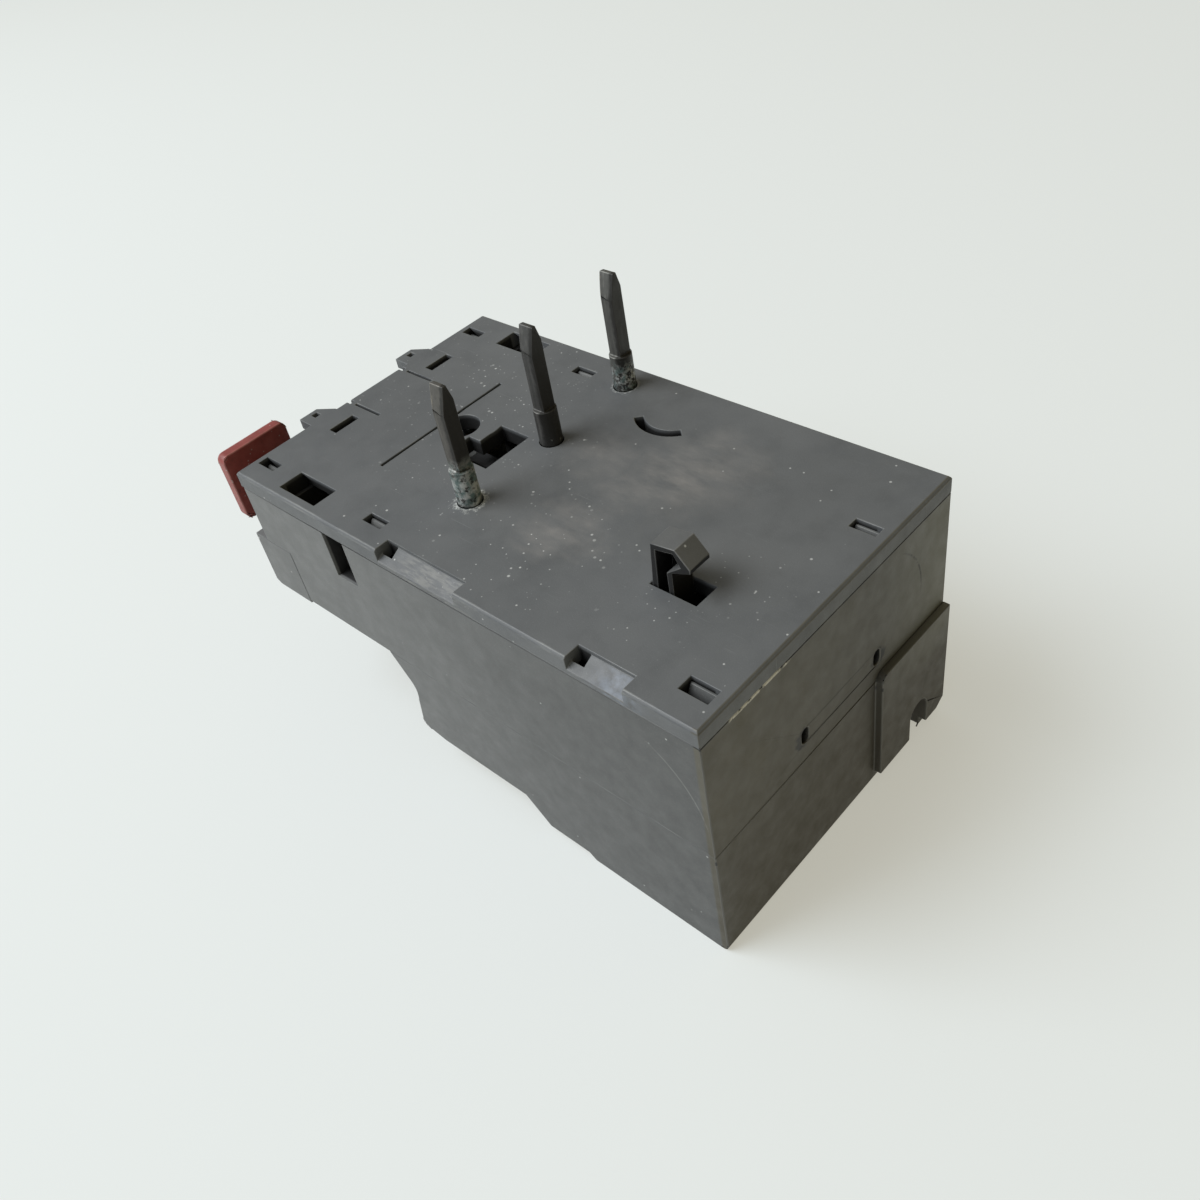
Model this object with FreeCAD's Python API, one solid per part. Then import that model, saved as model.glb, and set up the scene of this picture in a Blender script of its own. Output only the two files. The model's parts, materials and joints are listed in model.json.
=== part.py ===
import FreeCAD, Part
import math
import os

# A plug-in three-pole thermal overload relay, in millimetres.
# The origin is on the middle line pin's axis, in the mounting face.
# +X runs from the operator's front face to the rear, +Y across the poles, +Z out of the mounting face.

# ---- body ----
body_length = 77.0
body_width = 45.0
plate_thickness = 2.3
seam_depth = 19.9
terminal_depth = 33.9
foot_depth = 38.4
wall = 1.8
inner_wall = 1.4
front_inset = 0.4
pole_count = 3
pole_pitch = 14.1
pin_from_front = 32.2
pin_side_offset = 4.3
fit_gap = 0.1
slide_gap = 0.2
window_gap = 0.3
running_gap = 0.05

front = -pin_from_front
rear = front + body_length
near = -(body_width / 2 + pin_side_offset)
far = near + body_width
middle = (near + far) / 2
poles = range(pole_count)

# ---- mounting plate ----
plate_edge_chamfer = 0.3
tab_thickness = 1.5
tab_reach = 2.4
tab_width = 4.0
tab_slant = 1.0
tab_hole = 0.9
near_tab_from_near = 12.3
far_tab_from_far = 15.3
snap_window = (3.3, 1.5)
corner_window = (3.6, 2.0)
front_window_from_front = 1.1
middle_window_from_front = 23.3
rear_window_from_rear = 1.5
window_from_near = 3.0
window_from_far = 3.6
tool_window = (7.4, 3.5)
tool_window_from_front = 8.2
tool_window_from_side = 1.4
window_lip = 0.3
window_relief = 0.5
odd_window_from_far = 11.6
label_slot = (1.4, 4.0)
label_slot_from_front = 3.6
slit_width = 0.4
slit_depth = 1.3
slit_from_front = 1.8
slit_length = 5.2
slit_notch = (1.0, 0.7)
near_slit_side = -3.5
far_slit_side = 6.0
cross_slit_from_front = 16.4
cross_slit_from_near = 11.5
cross_slit_length = 21.4
opening_from_front = 24.1
opening_side = -4.3
opening = (5.0, 7.6)
opening_nose = (2.0, 3.7)
opening_boss_radius = 4.9
opening_boss_side = 2.1
pivot_window_radius = 2.5
arc_slit_radius = 4.8
arc_slit_width = 1.2
arc_slit_half_angle = 46.0
arc_slit_from_front = 42.0
arc_slit_from_far = 5.4
edge_recess_depth = 2.3
edge_recess_fall = 1.9
long_recess_from_front = 29.1
long_recess_length = 13.5
short_recess_from_front = 59.8
short_recess_length = 7.7
recess_slot = (1.7, 1.3)

# ---- line pins ----
pin_radius = 1.5
pin_blade_step = 0.17
pin_shank_radius = 1.3
pin_length = 16.0
pin_round_length = 4.9
pin_flat_x = 0.9
pin_flat_y = 0.95
pin_bevel_length = 3.4
pin_bevel_rise = 0.9
pin_nose_crest = 0.5
pin_nose_length = 3.4
pin_collar = 3.6
pin_collar_thickness = 1.2
strap_drop = 7.7
strap_thickness = 1.0
strap_width = 3.0
strap_overhang = 2.0

# ---- hook ----
hook_from_front = 60.0
hook_from_partition = 2.25
hook_hole = (6.3, 3.4)
hook_height = 6.4
hook_stem = 3.2
hook_top = 4.0
hook_reach = 5.8
hook_beak_drop = 1.9
hook_beak_edge = 0.5
hook_throat = 2.9
hook_skin = 0.7
hook_foot = (2.7, 0.9)
hook_foot_thickness = 2.4

# ---- thermal chambers ----
strip_from_front = 51.0
strip_width = 6.0
strip_thickness = 0.9
strip_tip_drop = 2.3
strip_foot_depth = 33.5
sleeve_wall = 0.35
sleeve_gap = 0.1
sleeve_foot_depth = 28.4
winding_turns = 5
winding_pitch = 3.0
ribbon_thickness = 0.6
ribbon_height = 1.3
winding_drop = 1.0
lead_width = 1.5
chamber_floor = 1.8
chamber_corner = 2.6
chamber_wall_from_front = 46.0

# ---- load terminals ----
load_screw_depth = 26.3
load_screw_radius = 2.0
load_head_radius = 3.4
load_head_thickness = 2.4
load_head_from_front = 28.6
load_saddle = 9.2
load_saddle_thickness = 1.2
load_wire_gap = 5.0
load_plate_thickness = 1.2
load_plate_width = 10.0
load_boss = 6.0
load_boss_length = 2.0
load_plate_foot_depth = 31.6
load_bridge_depth = 20.7
load_bridge_width = 6.0
load_leg_width = 4.0
screw_hole_radius = 3.6
wire_entry = (5.4, 10.4)
bay_front_from_front = 27.4
strap_seat = 0.8

# ---- auxiliary terminals ----
aux_count = 4
aux_top_drop = 9.0
aux_roof = 1.0
aux_depth = 20.4
aux_reach = 2.4
aux_collar = 5.9
aux_corner_radius = 1.2
aux_screw_drop = 3.7
aux_screw_radius = 1.5
aux_head_radius = 2.6
aux_head_thickness = 1.9
aux_head_from_front = 1.8
aux_hole_radius = 3.0
aux_saddle = 6.6
aux_saddle_thickness = 0.9
aux_wire_gap = 4.3
aux_plate_thickness = 1.0
aux_plate_width = 7.0
aux_tongue_width = 3.6
aux_cavity = (9.8, 8.2)
aux_groove = (0.9, 0.9)

# ---- trip mechanism levels, as depths under the plate ----
lever_level = (0.8, 2.2)
rocker_level = (1.9, 3.3)
contact_level = (4.1, 7.1)
trip_slide_level = (2.7, 4.3)
differential_level = (4.9, 6.5)
mechanism_wall_from_front = 22.4

# ---- rocker and contact arms ----
rocker_from_front = 19.3
rocker_side = 0.5
rocker_post_radius = 1.2
rocker_hub_radius = 2.4
rocker_foot_gap = 0.3
rocker_arm_width = 2.2
finger = (1.2, 1.6)
near_finger_from_front = 10.5
near_finger_from_post = 4.55
far_finger_from_front = 16.0
far_finger_from_post = 5.85
tail_from_front = 24.4
flag_from_front = 3.2
flag_side = 7.5
flag_size = (1.0, 2.8, 3.0)
reset_ear_from_front = 15.6
reset_ear_side = -0.6
contact_arm_thickness = 0.8
contact_post_radius = 0.8
contact_eye_radius = 1.6
contact_tip = 2.0
contact_tip_height = 0.7
near_post_from_front = 12.0
far_post_from_front = 14.6
contact_foot_gap = 0.2

# ---- trip lever, compensating strip and slides ----
lever_from_front = 31.0
lever_side = -2.0
lever_post_radius = 1.0
lever_hub_radius = 2.1
lever_nose_from_front = 43.5
lever_nose_half_width = 0.5
lever_arm_width = 1.8
compensator_thickness = 0.6
compensator_clip = 3.0
compensator_gap = 1.0
slide_front_from_front = 48.8
slide_length_x = 10.6
slide_near_reach = 4.6
slide_far_reach = 3.4
slide_window_gap = 0.5
trip_travel = 1.2
differential_travel = 0.5
step_shoulder = 0.6
link_width = 3.4
link_lever_width = 2.6
trip_post_from_front = 45.2
differential_post_from_front = 48.0
link_side = 2.5
link_post_radius = 0.6
nose_from_front = 42.4

# ---- operator's front ----
stop_flange_reach = 7.35
stop_flange_thickness = 1.9
stop_flange_from_near = 1.08
stop_flange = (10.45, 10.45)
stop_flange_top_depth = 0.7
stop_flange_corner = 1.1
stop_flange_chamfer = 0.3
stop_stem_from_near = 5.0
stop_stem = (5.2, 3.6)
stop_stem_drop = 4.3
stop_shoe_rim = 0.8
stop_shoe_thickness = 1.2
stop_rod = (1.3, 2.4)
stop_rod_end = 8.4
reset_cap_reach = 2.6
reset_cap_from_far = 2.6
reset_cap_width = 7.2
reset_cap_drop = 1.8
reset_cap_height = 5.8
reset_stem_end = 3.2
reset_rod_end = 9.6
reset_rod_side = -1.0
reset_rod_width = 2.4
spring_radius = 1.4
spring_wire = 0.5
spring_seat_from_front = 8.0
spring_seat_thickness = 0.8
stop_spring_from_near = 6.2
reset_spring_from_far = 3.4
spring_turns = 3
spring_sides = 8
dial_side = 0.5
control_drop = 4.4
dial_radius = 3.9
dial_proud = 0.4
dial_thickness = 1.9
dial_spindle_radius = 1.4
dial_cam_radius = 1.9
dial_cam_offset = 0.4
dial_cam_length = 1.2
dial_slot = (0.8, 5.0, 0.7)
selector_side = -6.1
selector_radius = 1.7
selector_proud = 0.4
selector_thickness = 1.8
selector_spindle_radius = 0.9
bearing_from_front = 4.4
bearing_thickness = 1.4
bearing_near_margin = 2.8
bearing_far_margin = 2.6
bearing_web = 0.8
flag_window = (5.2, 3.4)
cover_side = -8.7
cover_width = 18.6
cover_thickness = 0.8
cover_drop = 0.4
cover_front = 2.1
cover_hinge_rise = 1.0
cover_hinge_from_front = 1.6
cover_roll = 1.0
cover_pin_radius = 0.5
cover_pin_length = 0.7
cover_ear = (2.3, 1.0)
cover_grip = (0.5, 5.0, 1.0)
cover_grip_drop = 0.6

# ---- case details ----
side_window_from_front = 17.6
side_window_length = 4.1
side_window_bottom_depth = 9.5
rear_oval = (1.3, 2.3)
rear_oval_depth = 16.1
near_oval_from_near = 16.2
far_oval_from_near = 30.2
snap_rise = 1.7
front_snap_rise = 1.3
snap_thickness = 0.9
snap_root = 4.0
front_snap_root = 1.4
rear_pad_width = 14.9
rear_pad_proud = 1.0
rear_pad_top_depth = 18.9
rear_pad_bottom_depth = 36.4
rear_pad_corner = 1.2
rear_block_length = 7.0
notch_from_far = 4.4
notch_width = 3.8
notch_top_depth = 31.0
case_corner_radius = 1.0


def pole_y(k):
    """Centre line of a pole's bay."""
    return middle + (k - (pole_count - 1) / 2) * pole_pitch


def pin_y(k):
    return pole_y(k) + pin_side_offset


def partition_y(k):
    """Centre of the wall between bay k and the next one."""
    return pole_y(k) + pole_pitch / 2


def box(x, y, z):
    """A box from three (low, high) pairs."""
    corner = FreeCAD.Vector(min(x), min(y), min(z))
    return Part.makeBox(max(x) - min(x), max(y) - min(y), max(z) - min(z), corner)


def span(start, length):
    return (start, start + length)


def about(centre, width):
    return (centre - width / 2, centre + width / 2)


def under(drop):
    """Height of a point at a given drop under the plate."""
    return -plate_thickness - drop


def level(drops):
    return (under(drops[0]), under(drops[1]))


def rod(axis, radius, along, at):
    """A cylinder along X, Y or Z between two values, at the other two coordinates."""
    low, high = min(along), max(along)
    start = {
        "x": FreeCAD.Vector(low, at[0], at[1]),
        "y": FreeCAD.Vector(at[0], low, at[1]),
        "z": FreeCAD.Vector(at[0], at[1], low),
    }[axis]
    way = {
        "x": FreeCAD.Vector(1, 0, 0),
        "y": FreeCAD.Vector(0, 1, 0),
        "z": FreeCAD.Vector(0, 0, 1),
    }[axis]
    return Part.makeCylinder(radius, high - low, start, way)


def place(axis, u, v, w):
    """Point (u, v) of an outline drawn square to an axis, at w along it."""
    if axis == "x":
        return FreeCAD.Vector(w, u, v)
    if axis == "y":
        return FreeCAD.Vector(u, w, v)
    return FreeCAD.Vector(u, v, w)


def prism(axis, outline, along):
    """Extrudes an outline. A point given as a pair of points is an arc: (a point on it, its end)."""
    low, high = min(along), max(along)
    edges = []
    here = outline[0]
    for item in outline[1:] + outline[:1]:
        if isinstance(item[0], tuple):
            on, end = item
            arc = Part.Arc(place(axis, *here, low), place(axis, *on, low), place(axis, *end, low))
            edges.append(arc.toShape())
        else:
            end = item
            edges.append(Part.LineSegment(place(axis, *here, low), place(axis, *end, low)).toShape())
        here = end
    face = Part.Face(Part.Wire(edges))
    return face.extrude(place(axis, 0, 0, high - low))


def join(*shapes):
    """One solid from touching or overlapping ones."""
    return shapes[0].multiFuse(list(shapes[1:])).removeSplitter()


def less(shape, *tools):
    return shape.cut(list(tools)).removeSplitter()


def bar(start, end, width, heights):
    """A flat bar with round ends between two points in plan."""
    dx, dy = end[0] - start[0], end[1] - start[1]
    length = math.hypot(dx, dy)
    sx, sy = -dy / length * width / 2, dx / length * width / 2
    ex, ey = dx / length * width / 2, dy / length * width / 2
    outline = [
        (start[0] + sx, start[1] + sy),
        ((start[0] - ex, start[1] - ey), (start[0] - sx, start[1] - sy)),
        (end[0] - sx, end[1] - sy),
        ((end[0] + ex, end[1] + ey), (end[0] + sx, end[1] + sy)),
    ]
    return prism("z", outline, heights)


def strip(start, end, width, heights):
    """A flat bar with square ends that reach half its width past the two points."""
    dx, dy = end[0] - start[0], end[1] - start[1]
    length = math.hypot(dx, dy)
    ex, ey = dx / length * width / 2, dy / length * width / 2
    outline = [
        (start[0] - ex - ey, start[1] - ey + ex),
        (start[0] - ex + ey, start[1] - ey - ex),
        (end[0] + ex + ey, end[1] + ey - ex),
        (end[0] + ex - ey, end[1] + ey + ex),
    ]
    return prism("z", outline, heights)


def save(name, *solids):
    shape = solids[0] if len(solids) == 1 else Part.makeCompound(list(solids))
    shape.exportStep("parts/%s.step" % name)


# ---- housing ----

def window_places():
    """Plan rectangles of the snap windows."""
    length, width = snap_window
    near_row = span(near + window_from_near, width)
    far_row = span(far - window_from_far - width, width)
    front_x = span(front + front_window_from_front, length)
    middle_x = span(front + middle_window_from_front, length)
    rear_x = span(rear - rear_window_from_rear - length, length)
    corner_x = span(rear - rear_window_from_rear - corner_window[0], corner_window[0])
    return {
        "front_near": (front_x, near_row),
        "front_far": (front_x, far_row),
        "middle_near": (middle_x, near_row),
        "middle_far": (middle_x, far_row),
        "rear_near": (corner_x, span(near_row[0] + 0.4, corner_window[1])),
        "rear_far": (rear_x, span(far - odd_window_from_far - width, width)),
    }


def tab_places():
    """Near edges of the two tabs."""
    return (near + near_tab_from_near, far - far_tab_from_far)


def plate_tab(y):
    """A tab on the plate's front edge, with a slanted far side and a small sealing hole."""
    outline = [
        (front, y),
        (front - tab_reach, y),
        (front - tab_reach, y + tab_width - tab_slant),
        (front, y + tab_width + tab_slant / 2),
        (front + 1, y + tab_width + tab_slant / 2),
        (front + 1, y),
    ]
    tab = prism("z", outline, (-tab_thickness, 0))
    hole_x = about(front - tab_reach / 2, tab_hole)
    hole = box(hole_x, about(y + tab_width / 2, tab_hole), (-plate_thickness, 1))
    return less(tab, hole)


def mechanism_cut(through):
    """The opening over the trip lever, with its nose and the round boss in its front edge."""
    x, y = front + opening_from_front, middle + opening_side
    main = box(span(x, opening[0]), span(y, opening[1]), through)
    nose = box((x - opening_nose[0], x + 1), span(y, opening_nose[1]), through)
    boss = rod("z", opening_boss_radius, through, (front + rocker_from_front, middle + opening_boss_side))
    boss_side = box((x - opening_boss_radius, x + opening[0]), (y + opening_nose[1], far), through)
    return join(main, nose).cut(boss.common(boss_side))


def arc_slit(through):
    centre = (front + arc_slit_from_front, far - arc_slit_from_far)
    ring = rod("z", arc_slit_radius + arc_slit_width / 2, through, centre)
    ring = ring.cut(rod("z", arc_slit_radius - arc_slit_width / 2, through, centre))
    reach = 2 * arc_slit_radius
    half = math.radians(arc_slit_half_angle)
    wedge = [
        centre,
        (centre[0] - reach * math.sin(half), centre[1] - reach * math.cos(half)),
        (centre[0] + reach * math.sin(half), centre[1] - reach * math.cos(half)),
    ]
    return ring.common(prism("z", wedge, through))


def edge_recess(from_front, length):
    """A shallow recess that falls away over the near long edge."""
    outline = [
        (near - 1, 1),
        (near + edge_recess_depth, 1),
        (near + edge_recess_depth, -(plate_thickness - edge_recess_fall)),
        (near - 1, -plate_thickness),
    ]
    return prism("x", outline, span(front + from_front, length))


def relieved_window(x, y):
    """A window whose far wall starts thin in front and grows to the plate's full thickness."""
    below = -plate_thickness - 1
    relief = [(x[0], below), (x[0], -window_lip), (x[1], -plate_thickness), (x[1], below)]
    return box(x, y, (below, 1)).fuse(prism("y", relief, (sum(y) / 2, y[1] + window_relief)))


def tool_windows():
    length, width = tool_window
    x = span(front + tool_window_from_front, length)
    lows = (near + tool_window_from_side, far - tool_window_from_side - width)
    return [relieved_window(x, span(low, width)) for low in lows]


def pin_plate():
    through = (-plate_thickness - 1, 1)
    slab = box((front, rear), (near, far), (-plate_thickness, 0))
    top_edges = [e for e in slab.Edges if all(abs(v.Z) < 1e-6 for v in e.Vertexes)]
    slab = slab.makeChamfer(plate_edge_chamfer, top_edges)
    post_z = (under(contact_level[1] + slide_gap), -plate_thickness)
    post = rod("z", lever_post_radius, post_z, lever_centre())
    slab = join(slab, post, *[plate_tab(y) for y in tab_places()])
    cuts = tool_windows()
    for name, (x, y) in window_places().items():
        cuts.append(relieved_window(x, y) if name.startswith("front") else box(x, y, through))
    for tab in tab_places():
        y = tab + tab_width / 2 + 0.7
        cuts.append(box(span(front + label_slot_from_front, label_slot[0]), about(y, label_slot[1]), through))
    slit = (-slit_depth, 1)
    for side in (near_slit_side, far_slit_side):
        y = middle + side
        cuts.append(box(span(front + slit_from_front, slit_length), about(y, slit_width), slit))
        cuts.append(box((front - 1, front + slit_notch[0]), about(y, slit_notch[1]), through))
    cross = span(near + cross_slit_from_near, cross_slit_length)
    cuts.append(box(span(front + cross_slit_from_front, slit_width), cross, slit))
    cuts.append(arc_slit(through))
    cuts.append(mechanism_cut(through))
    cuts.append(rod("z", pivot_window_radius, through, rocker_centre()))
    cuts.append(box(span(front + hook_from_front, hook_hole[0]), hook_hole_y(), through))
    cuts.append(edge_recess(long_recess_from_front, long_recess_length))
    cuts.append(edge_recess(short_recess_from_front, short_recess_length))
    for from_front in (long_recess_from_front, short_recess_from_front):
        y = span(near + edge_recess_depth - recess_slot[1], recess_slot[1])
        cuts.append(box(span(front + from_front, recess_slot[0]), y, through))
    for k in poles:
        cuts.append(rod("z", pin_radius + running_gap, through, (0, pin_y(k))))
    return less(slab, *cuts)


def hook_hole_y():
    return span(partition_y(0) - hook_from_partition, hook_hole[1])


def lever_centre():
    return (front + lever_from_front, middle + lever_side)


def reset_y():
    return far - reset_cap_from_far - reset_cap_width / 2


def dial_place():
    return (middle + dial_side, under(control_drop))


def selector_place():
    return (middle + selector_side, under(control_drop))


def aux_top():
    return under(aux_top_drop)


def bearing_frame():
    """The bridge behind the front wall that carries the dial's and the selector's spindles."""
    z = (aux_top() + slide_gap, -plate_thickness)
    bridge_y = (selector_place()[0] - bearing_near_margin, dial_place()[0] + bearing_far_margin)
    bridge = box(span(front + bearing_from_front, bearing_thickness), bridge_y, z)
    webs_x = (front + wall, front + bearing_from_front)
    near_web = box(webs_x, span(bridge_y[0], bearing_web), z)
    far_web = box(webs_x, (bridge_y[1] - bearing_web, bridge_y[1]), z)
    bores_x = (front - 1, front + bearing_from_front + bearing_thickness + 1)
    dial = rod("x", dial_spindle_radius + running_gap, bores_x, dial_place())
    selector = rod("x", selector_spindle_radius + running_gap, bores_x, selector_place())
    return less(join(bridge, near_web, far_web), dial, selector)


def spring_seats():
    x = span(front + spring_seat_from_front, spring_seat_thickness)
    z = (aux_top() + slide_gap, -plate_thickness)
    half = spring_radius + fit_gap
    return [
        box(x, (near + wall / 2, near + stop_spring_from_near + half), z),
        box(x, (far - reset_spring_from_far - half, far - wall / 2), z),
    ]


def snaps():
    """Snap hooks that stand up into the plate's windows, along the far side of each."""
    made = []
    for name, (x, y) in window_places().items():
        high = y[1] - fit_gap
        low = high - snap_thickness
        in_front = name.startswith("front")
        top = -plate_thickness + (front_snap_rise if in_front else snap_rise)
        nose = [
            (low, -plate_thickness),
            (low, top - snap_thickness),
            (high - snap_thickness / 3, top),
            (high, top),
            (high, -plate_thickness),
        ]
        made.append(prism("x", nose, (x[0] + fit_gap, x[1] - fit_gap)))
        root_x = {
            "front": (front + wall / 2, x[1] - fit_gap),
            "middle": (front + mechanism_wall_from_front + inner_wall / 2, x[1] - fit_gap),
            "rear": (x[0] + fit_gap, rear - wall / 2),
        }[name.split("_")[0]]
        drop = front_snap_root if in_front else snap_root
        made.append(box(root_x, (low, high), (under(drop), -plate_thickness)))
    return made


def bay_y(k):
    """Clear width of a bay, from wall to wall."""
    low = near + wall if k == 0 else partition_y(k - 1) + inner_wall / 2
    high = far - wall if k == pole_count - 1 else partition_y(k) - inner_wall / 2
    return (low, high)


def oval_hole(from_near):
    width, height = rear_oval
    y, z = near + from_near, -rear_oval_depth
    straight = (height - width) / 2
    outline = [
        (y - width / 2, z - straight),
        ((y, z - height / 2), (y + width / 2, z - straight)),
        (y + width / 2, z + straight),
        ((y, z + height / 2), (y - width / 2, z + straight)),
    ]
    return prism("x", outline, (rear - wall - 1, rear + 1))


def upper_case():
    top, bottom = -plate_thickness, -seam_depth
    through = (bottom - 1, top + 1)
    shell = box((front + front_inset, rear), (near, far), (bottom, top))
    cuts = [box((front + wall, front + mechanism_wall_from_front), (near + wall, far - wall), through)]
    bays_x = (front + mechanism_wall_from_front + inner_wall, rear - wall)
    cuts += [box(bays_x, bay_y(k), through) for k in poles]
    cuts.append(box((front - 1, front + aux_collar), (near - 1, far + 1), (bottom - 1, aux_top())))
    wall_x = span(front + mechanism_wall_from_front - 1, inner_wall + 2)
    lever_y = about(rocker_centre()[1] - 1, 9.6)
    cuts.append(box(wall_x, lever_y, (aux_top() + fit_gap, top + 1)))
    cuts += partition_slots(top)
    front_x = (front - 1, front + wall + 0.5)
    stem_y, stem_z = stop_stem_section(slide_gap)
    cuts.append(box(front_x, stem_y, stem_z))
    reset_window = about(reset_y(), reset_cap_width + 2 * slide_gap)
    reset_z = (under(reset_cap_drop) + slide_gap, under(reset_cap_drop + reset_cap_height) - slide_gap)
    cuts.append(box(front_x, reset_window, reset_z))
    cuts.append(rod("x", dial_radius + window_gap, front_x, dial_place()))
    cuts.append(rod("x", selector_radius + window_gap, front_x, selector_place()))
    flag_y = about(flag_seat()[1] - 0.6, flag_window[0])
    cuts.append(box(front_x, flag_y, about(under(control_drop), flag_window[1])))
    side_x = span(front + side_window_from_front, side_window_length)
    side_z = (-side_window_bottom_depth, top - 0.2)
    cuts.append(box(side_x, (near - 1, near + wall + 0.5), side_z))
    cuts.append(box(side_x, (far - wall - 0.5, far + 1), side_z))
    cuts += [oval_hole(near_oval_from_near), oval_hole(far_oval_from_near)]
    shell = shell.cut(cuts)
    extras = [bearing_frame()] + spring_seats() + snaps() + cover_ears()
    return join(shell, *extras)


def partition_slots(top):
    """What the walls between the bays leave free: a stepped slot for the slides, and the hook's room."""
    slide_x = span(front + slide_front_from_front, slide_length_x)
    outer_x = (slide_x[0] - slide_gap, slide_x[1] + slide_gap)
    inner_x = (outer_x[0] + step_shoulder, outer_x[1] - step_shoulder)
    across = (partition_y(0) - inner_wall, partition_y(pole_count - 2) + inner_wall)
    outer = box(outer_x, across, (under(trip_slide_level[1] + slide_gap), top + 1))
    inner = box(inner_x, across, (under(differential_level[1] + slide_gap), top + 1))
    partition = about(partition_y(0), 2 * inner_wall)
    foot_x = hook_foot_x()
    foot = box(foot_x, partition, (top - hook_foot_thickness, top + 1))
    well_x = (foot_x[1], front + hook_from_front + hook_hole[0] + 1)
    well = box(well_x, partition, (-seam_depth + 4, top + 1))
    return [outer, inner, foot, well]


def cover_axis():
    return (front - cover_hinge_from_front, aux_top() + cover_hinge_rise)


def cover_ears():
    """Two ears on the front wall that carry the cover's stub pins."""
    ears = []
    reach, thickness = cover_ear
    axis = cover_axis()
    low = middle + cover_side - slide_gap - thickness
    high = middle + cover_side + cover_width + slide_gap
    for y in (low, high):
        ear = box((front - reach, front + wall / 2), span(y, thickness), about(axis[1], 1.8))
        bore = rod("y", cover_pin_radius + running_gap, span(y - 1, thickness + 2), axis)
        ears.append(ear.cut(bore))
    return ears


def hook_foot_x():
    return (front + hook_from_front - hook_foot[0], front + hook_from_front + hook_stem)


def lower_outline():
    """Side profile of the lower case: a waisted front, the terminal floor, and the deeper foot behind it."""
    f = front
    bulge = (1 - math.sqrt(0.5)) * case_corner_radius
    return [
        (f + 23.2, -seam_depth),
        (f + 25.6, -seam_depth - 3.7),
        ((f + 26.4, -seam_depth - 5.7), (f + 26.1, -seam_depth - 7.7)),
        (f + 25.4, -terminal_depth + 2.3),
        ((f + 25.5, -terminal_depth + 1.1), (f + 26.8, -terminal_depth + 0.5)),
        (f + 29.5, -terminal_depth),
        (f + 45.0, -terminal_depth),
        (f + 48.6, -foot_depth + 0.8),
        (f + 55.3, -foot_depth + 0.8),
        (f + 56.3, -foot_depth),
        (rear - case_corner_radius, -foot_depth),
        ((rear - bulge, -foot_depth + bulge), (rear, -foot_depth + case_corner_radius)),
        (rear, -seam_depth),
    ]


def rear_pad():
    """The raised pad at the far lower corner of the rear face."""
    high = far - 0.1
    low = high - rear_pad_width
    top, bottom = -rear_pad_top_depth, -rear_pad_bottom_depth
    corner = rear_pad_corner
    outline = [
        (low, bottom),
        (low, top - corner),
        ((low + 0.3 * corner, top - 0.3 * corner), (low + corner, top)),
        (high, top),
        (high, bottom + 1.1),
        (high - 1.6, bottom),
    ]
    return prism("x", outline, (rear, rear + rear_pad_proud))


def lower_case():
    shell = prism("y", lower_outline(), (near, far))
    through = (-seam_depth + 1, -seam_depth - 1)
    cuts = []
    for k in poles:
        bay = bay_y(k)
        terminal_x = (front + bay_front_from_front, front + chamber_wall_from_front)
        chamber_x = (front + chamber_wall_from_front + inner_wall, rear - wall)
        cuts.append(box(terminal_x, bay, (-terminal_depth + inner_wall, through[0])))
        floor = -foot_depth + chamber_floor
        chamber = [
            (chamber_x[0], through[0]),
            (chamber_x[0], floor + chamber_corner),
            (chamber_x[0] + chamber_corner, floor),
            (chamber_x[1], floor),
            (chamber_x[1], through[0]),
        ]
        cuts.append(prism("y", chamber, bay))
        bridge_x = (terminal_x[1] - 1, chamber_x[0] + 1)
        bridge_y = about(pole_y(k), load_bridge_width + 2 * fit_gap)
        cuts.append(box(bridge_x, bridge_y, (-load_bridge_depth - load_plate_thickness, through[0])))
        screw_x = (front, terminal_x[0] + 1)
        cuts.append(rod("x", screw_hole_radius, screw_x, (pole_y(k), -load_screw_depth)))
        wire_x = about(load_wire_x(), wire_entry[0])
        wire_z = (-terminal_depth - 1, -terminal_depth + inner_wall + 1)
        cuts.append(box(wire_x, about(pole_y(k), wire_entry[1]), wire_z))
    shell = shell.cut(cuts)
    seats = []
    for k in poles:
        leg_x = load_leg_x()
        seat_x = (leg_x[0], front + strip_from_front + strip_width + 1)
        seat_z = (-foot_depth + 1, -strip_foot_depth - load_plate_thickness)
        seats.append(box(seat_x, about(pole_y(k), strap_seat), seat_z))
    notch_y = span(far - notch_from_far - notch_width, notch_width)
    block_y = (notch_y[0] - inner_wall, notch_y[1] + inner_wall)
    block_x = (rear - rear_block_length, rear - wall / 2)
    block = box(block_x, block_y, (-foot_depth + 1, -notch_top_depth + inner_wall))
    shell = join(shell, block, rear_pad(), *seats)
    arch = notch_width / 2
    notch = [
        (notch_y[0], -foot_depth - 1),
        (notch_y[0], -notch_top_depth - arch),
        ((sum(notch_y) / 2, -notch_top_depth), (notch_y[1], -notch_top_depth - arch)),
        (notch_y[1], -foot_depth - 1),
    ]
    step_x = (rear - rear_block_length - 1, rear + 2)
    step_y = (far - rear_pad_width + 1.4, far + 1)
    far_step = box(step_x, step_y, (-foot_depth - 1, -foot_depth + 0.7))
    return less(shell, prism("x", notch, (rear - rear_block_length + inner_wall, rear + 2)), far_step)


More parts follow.
